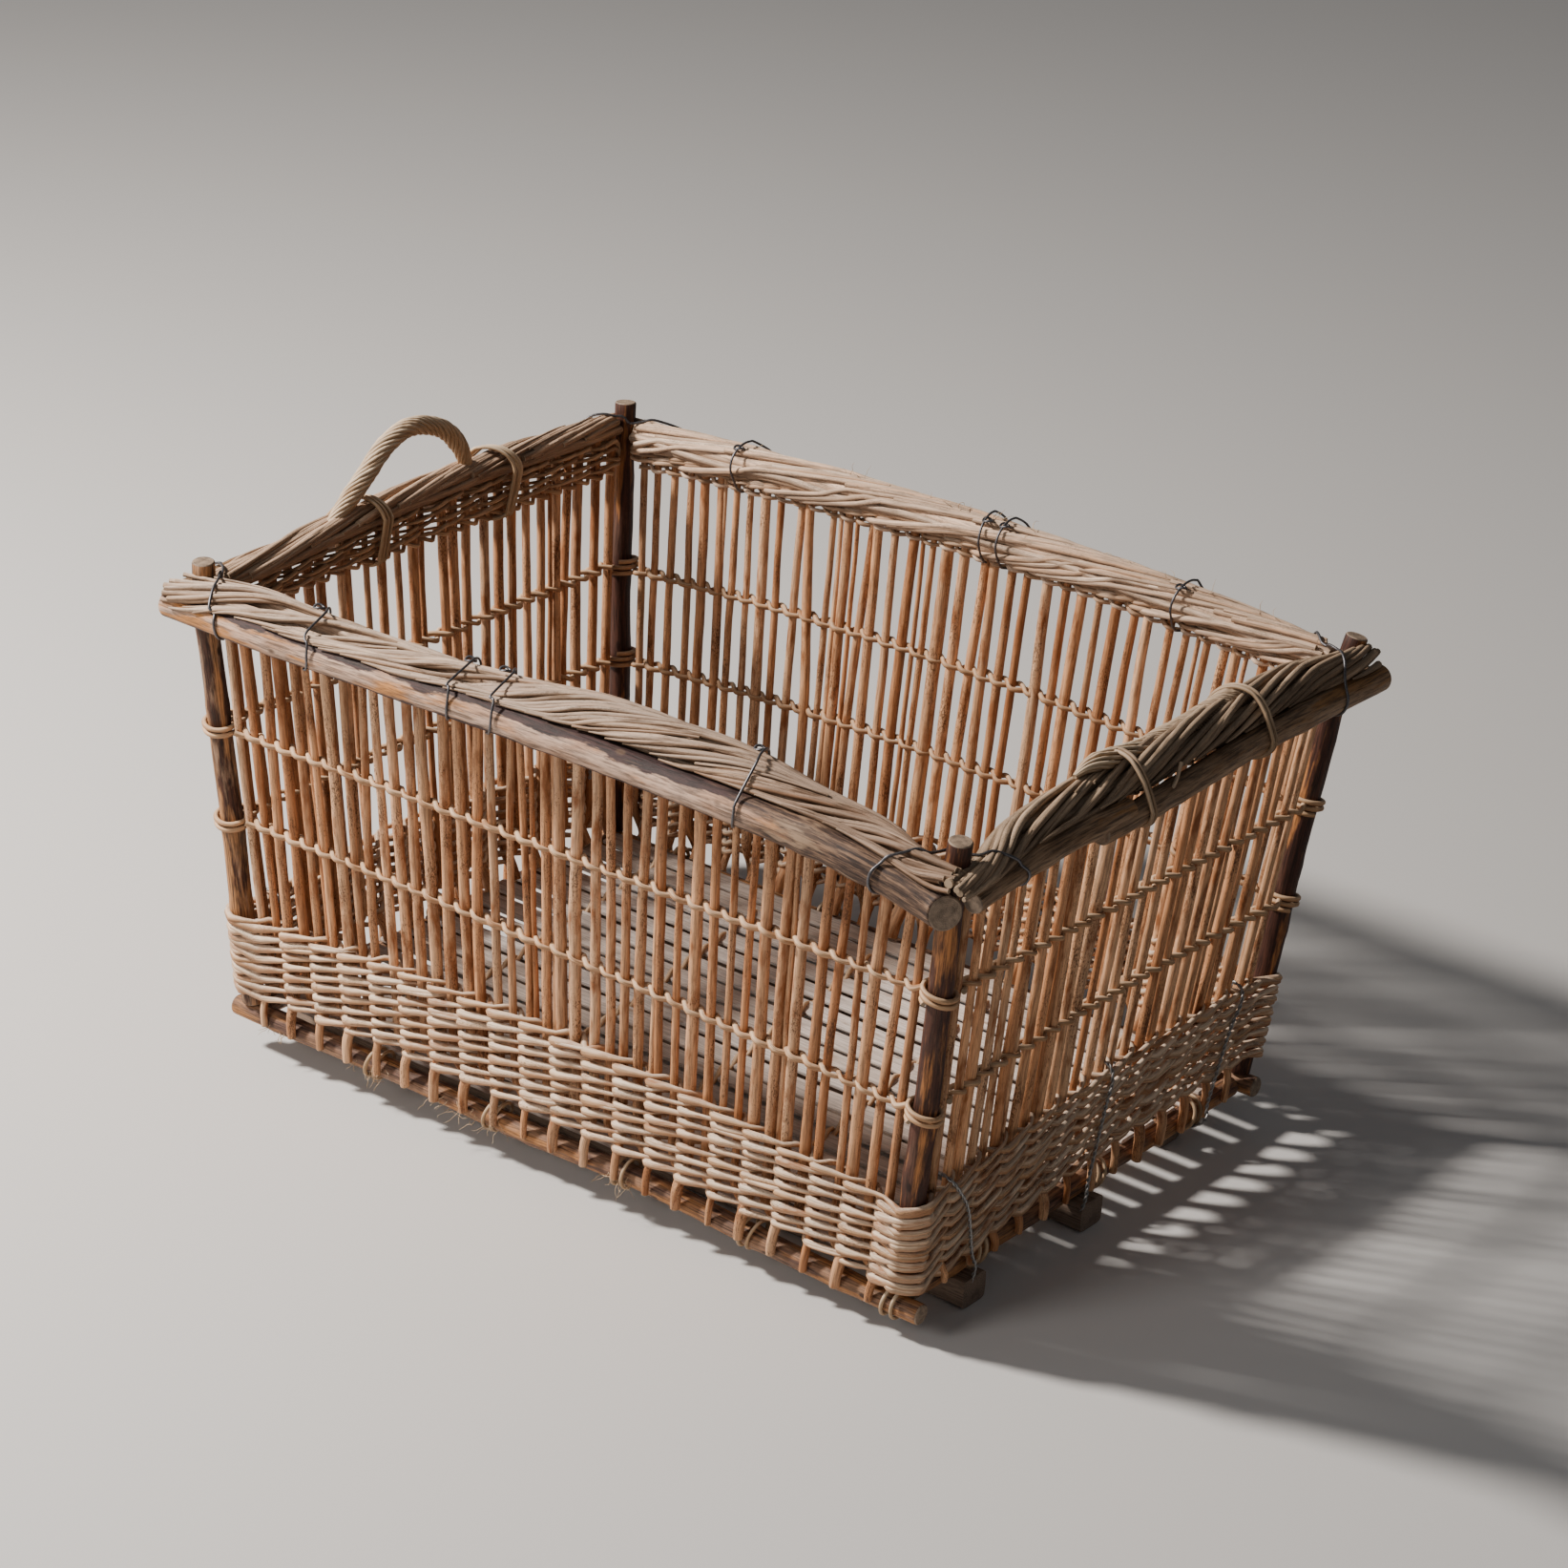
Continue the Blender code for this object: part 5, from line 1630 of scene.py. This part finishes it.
# %% Make the right handle
def make_right_handle():
    dice = random.Random(320)
    line = (
        (-0.150, 0.5830), (-0.124, 0.5865), (-0.071, 0.5805), (-0.017, 0.5735), (0.037, 0.5710),
        (0.100, 0.5735), (0.150, 0.5780), (0.174, 0.5690),
    )
    rope = [(0.4900, y, z) for y, z in line]
    wrap = twisted(rope[3:], 17, 0.0122, 0.0021, 0.085, dice, 90, 0.25, 1.1)
    inside = twisted(rope[:6], 10, 0.0078, 0.0023, 0.30, dice, 60, 0.88, 1.4)
    tail = [(0.531, -0.074, 0.527), (0.534, -0.052, 0.534), (0.533, -0.028, 0.550), (0.527, -0.010, 0.566)]
    rods = wrap + lashing("right", -0.080, dice, 0.0023, 2, -0.004)
    rods += lashing("right", 0.138, dice, 0.0023, 2, 0.006)
    rods += [(rope[3:], 0.0112), (smooth_path(tail, 8)[0], 0.0021)]
    rope_piece = make_rods("rope_handle_right", rods, DARK_AND_SHADED_HANDLE, 8, 2, 0.05, 0.01, 331)
    settle(rope_piece, "peeled_willow", "handle_right")
    settle(make_rods("rope_strands_right", inside, HANDLE_WILLOW, 8, 2, 0.05, 0.01, 333), "peeled_willow")


make_right_handle()

# %% [markdown]
# Thin willow ties the weave to the base poles, two turns at a time. The rings lean a little and are a bit
# too wide for what they hold, as old ties are.

# %% Tie the base poles
def base_tie(side, u, dice):
    """Two thin rings that lean a little, round the base pole and the lowest row."""
    full = stake_reach(side, BASE_HEIGHT)
    middle = BASE_HEIGHT - base_drop(side, u / full) + 0.003
    ties = []
    for gap in (-0.0055, 0.0065):
        lean = dice.uniform(0.002, 0.006)
        ring = []
        for step in range(14):
            angle = 2 * math.pi * step / 14
            at = (0.0165 * math.cos(angle), middle + 0.0178 * math.sin(angle))
            ring.append(place(side, u + gap + lean * math.sin(angle), *at))
        ties.append((ring, dice.uniform(0.0019, 0.0025), True))
    return ties


BASE_TIES = {
    "front": (-0.262, -0.092, 0.087, 0.256, 0.440),
    "back": (-0.33, -0.11, 0.12, 0.34),
    "right": (-0.20, 0.02, 0.21),
    "left": (-0.21, 0.0, 0.2),
}


def make_base_ties():
    dice = random.Random(500)
    ties = [ring for side, places in BASE_TIES.items() for u in places for ring in base_tie(side, u, dice)]
    settle(make_rods("base_ties", ties, HANDLE_WILLOW, 7, 2, 0.05, 0.01, 501), "peeled_willow")


make_base_ties()

# %% [markdown]
# Years of use have left loose fibres at the front base pole and along the back border. Each is a very fine
# rod with a tip at its free end, and its direction changes a little at every step.

# %% Leave some loose fibres
def fibre(start, ahead, length, curl, dice):
    """A hair from a place, in a direction, with a little curl."""
    at, way = Vector(start), Vector(ahead).normalized()
    points = [tuple(at)]
    for _ in range(6):
        way = (way + Vector([dice.gauss(0, curl) for _ in range(3)])).normalized()
        at = at + way * length / 6
        points.append(tuple(at))
    return points, [0.00045, 0.00042, 0.00038, 0.00034, 0.00028, 0.00022, 0.00012]


def make_fibres():
    dice = random.Random(510)
    hairs = []
    for _ in range(70):
        u = dice.choice((-0.40, -0.262, -0.15, -0.092, 0.087)) + dice.gauss(0, 0.016)
        start = place("front", u, 0.011, BASE_HEIGHT - 0.006 + dice.uniform(-0.004, 0.012))
        ahead = (dice.gauss(0, 0.8), -0.7, dice.gauss(-0.6, 0.4))
        hairs.append(fibre(start, ahead, dice.uniform(0.008, 0.030), 0.35, dice))
    for _ in range(26):
        u = -dice.uniform(-0.35, 0.45)
        v, z = bundle_point("back", u, 1.7, 0.002)
        start = place("back", u, v, z)
        ahead = (dice.gauss(0, 0.8), 0.2, 0.7)
        hairs.append(fibre(start, ahead, dice.uniform(0.010, 0.026), 0.45, dice))
    settle(make_rods("loose_fibres", hairs, HANDLE_WILLOW, 4, 2, 0.0, 0.01, 511), "peeled_willow")


make_fibres()

# %% [markdown]
# Iron wire binds the rim pole to the border. Wire is the same sweep again with a thin round section, and
# its loop is the tight one from before. The eye that is left where two ends are twisted together sits on
# the inner edge. Iron is dark with rusty spots. The wires at the runners are lighter, so they get zinc.

# %% Bend the wires of the rim
def iron_wire(name, dark, light, rust):
    made, tree, shader = start_finish(name, 0.45)
    shader.inputs["Metallic"].default_value = 0.85
    bark = attribute(tree, "bark", "Vector")
    wear = noise(tree, bark, 500, 4.0)
    tree.links.new(ramp(tree, wear, ((0.35, dark), (0.6, light), (0.72, rust))), shader.inputs["Base Color"])
    tree.links.new(arithmetic(tree, "MULTIPLY_ADD", wear, 0.5, 0.2), shader.inputs["Roughness"])
    return made


IRON = iron_wire("iron_wire", (0.045, 0.042, 0.045), (0.17, 0.17, 0.185), (0.20, 0.13, 0.09))
ZINC = iron_wire("zinc_wire", (0.16, 0.155, 0.15), (0.42, 0.42, 0.42), (0.28, 0.24, 0.20))
WIRE = 0.0014
RIM_TIES = {"front": (-0.74, -0.28, -0.19, 0.54), "back": (-0.62, -0.12, -0.065, 0.69)}


def wire_eye(side, share, dice):
    """The small twisted eye on top of the inner edge, and its twisted tail."""
    z = arch(BORDER_LINE, side, share) + 0.0175
    u = share * stake_reach(side, z)
    v = -0.014
    points = []
    turn = dice.random()
    for k in range(13):
        angle = 2 * math.pi * k / 9 + turn
        level = z + 0.0012 * math.sin(2 * angle) + 0.001
        points.append(place(side, u + 0.0060 * math.cos(angle), v + 0.0050 * math.sin(angle), level))
    return points, WIRE


def gap_middle(side, share):
    steps = STAKES[side] - 1
    index = math.floor((share + 1) / 2 * steps)
    return stake_share(side, index + 0.5)


def make_rim_ties():
    for side, shares in RIM_TIES.items():
        for i, share in enumerate(shares):
            dice = random.Random(400 + i)
            lean = (0.020, 0.012, 0.019, 0.011)[i] if side == "front" else dice.uniform(-0.006, 0.006)
            middle = gap_middle(side, share)
            eye = wire_eye(side, middle, dice)
            rods = [(loop_at(side, middle + lean / reach(side, 0.56), WIRE, lean), WIRE, True), eye]
            piece = make_rods("wire_" + side + "_" + str(i + 1), rods, IRON, 8, 3, 0.0, 0.01, 401)
            settle(piece, "iron_wire", "rim_tie_" + side + "_" + str(i + 1))


make_rim_ties()

# %% [markdown]
# At each corner a bent wire comes from under one rim pole, goes over its border, past the post and down
# over the next. It is made in two halves that meet at the post, so one function serves all eight ends.

# %% Bend the wires of the corners
def corner_half(side, end):
    """Half a corner wire: from under the rim pole, round its outside, over the border, to the post."""
    full = rim_reach(side)
    points = []
    for angle, back in ((-80, 0.066), (-45, 0.068), (-10, 0.068), (25, 0.066), (60, 0.061)):
        pole_v, pole_z, pole_r = rim_pole_at(side, end * (full - back))
        turn = math.radians(angle)
        round_pole = pole_r * 1.04 + WIRE
        at = (pole_v + round_pole * math.cos(turn), pole_z + round_pole * math.sin(turn))
        points.append(place(side, end * (full - back), *at))
    for angle, back in ((0.55, 0.056), (1.1, 0.046), (1.6, 0.036), (2.1, 0.026)):
        u = end * (full - back)
        points.append(place(side, u, *bundle_point(side, u, angle, 0.0055)))
    points.append(place(side, end * (full - 0.018), -0.012, points[-1][2] - 0.001))
    return points


def make_corner_ties():
    for number, name in enumerate(("front_right", "back_right", "back_left", "front_left")):
        path = corner_half(SIDES[number], 1) + corner_half(SIDES[(number + 1) % 4], -1)[::-1]
        piece = make_rods("corner_wire_" + name, [(path, WIRE * 1.1)], IRON, 8, 4, 0.0, 0.01, 403)
        settle(piece, "iron_wire", "corner_tie_" + name)


make_corner_ties()

# %% [markdown]
# A twisted pair of lighter wires runs from inside each short wall over the lower weave and down to a
# runner's end. The pair is a rope of two strands, so the rope's helper makes it.

# %% Tie the runners
# For each runner: where along the short side its wire goes over the weave, and where it comes down.
RUNNER_WIRES = {"front": (-0.282, -0.222), "middle": (0.000, -0.018), "back": (0.258, 0.212)}
# The height at which a wire holds its runner.
RUNNER_HOLD = 0.012


def runner_wire(side, top_u, low_u, top, end_x):
    """The way from inside the short wall over the lower weave down to the end of a runner."""
    outer = 0.0195
    drop = top - 0.045
    middle_u = (top_u + low_u) / 2
    path = [place(side, top_u, -0.013, top - 0.030), place(side, top_u, -0.0145, top - 0.006)]
    path += [place(side, top_u, -0.004, top + 0.0035), place(side, top_u, 0.012, top + 0.001)]
    path.append(place(side, top_u * 0.7 + middle_u * 0.3, outer, top - 0.014))
    path.append(place(side, middle_u, outer + 0.0015, drop))
    path.append(place(side, middle_u * 0.3 + low_u * 0.7, outer + 0.002, 0.068))
    path.append(place(side, low_u, 0.024, 0.045))
    path.append((end_x, place(side, low_u, 0, 0.03)[1], RUNNER_HOLD))
    return path


def make_runner_ties():
    for side, sign in (("right", 1), ("left", -1)):
        for name, (top_y, low_y) in RUNNER_WIRES.items():
            end = sign * (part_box("runner_" + name)[1].x - 0.006)
            top = arch(BAND_TOP, side, sign * top_y / stake_reach(side, 0.17)) + 0.001
            path = runner_wire(side, sign * top_y, sign * low_y, top, end)
            rods = twisted(path, 2, 0.0012, 0.0012, 0.016, random.Random(410), 90)
            piece = make_rods("runner_wire_" + name + "_" + side, rods, ZINC, 7, 1, 0.0, 0.01, 405)
            settle(piece, "iron_wire", "runner_tie_" + name + "_" + side)


make_runner_ties()

# %% [markdown]
# The set is plain: a pale floor, a soft pale surround, a main light from the left and a large weak one from
# the front. The light's side and height follow the shadows in the photograph.

# %% Light the basket
def plain_floor():
    mesh = bpy.data.meshes.new("ground")
    size = 14.0
    corners = [(x * size, y * size, 0) for x, y in ((-1, -1), (1, -1), (1, 1), (-1, 1))]
    mesh.from_pydata(corners, [], [(0, 1, 2, 3)])
    ground = bpy.data.objects.new("ground", mesh)
    bpy.context.scene.collection.objects.link(ground)
    made, _, shader = start_finish("ground_paper", 0.9)
    shader.inputs["Base Color"].default_value = (0.62, 0.61, 0.60, 1)
    mesh.materials.append(made)


def area_light(name, where, size, power, colour):
    light = bpy.data.lights.new(name, "AREA")
    light.shape = "DISK"
    light.size = size
    light.energy = power
    light.color = colour
    lamp = bpy.data.objects.new(name, light)
    lamp.location = where
    lamp.rotation_euler = (Vector((0, 0, 0.3)) - Vector(where)).to_track_quat("-Z", "Y").to_euler()
    bpy.context.scene.collection.objects.link(lamp)


plain_floor()
area_light("key", (-2.8, -1.70, 3.0), 0.5, 390, (1.0, 0.93, 0.86))
area_light("front", (-0.9, -4.0, 2.3), 1.6, 50, (1.0, 0.96, 0.92))
world = bpy.data.worlds.new("surround")
world.use_nodes = True
sky = world.node_tree.nodes["Background"].inputs
sky["Color"].default_value = (0.80, 0.82, 0.85, 1)
sky["Strength"].default_value = 0.14
bpy.context.scene.world = world
print("lights:", [light.name for light in bpy.data.lights])
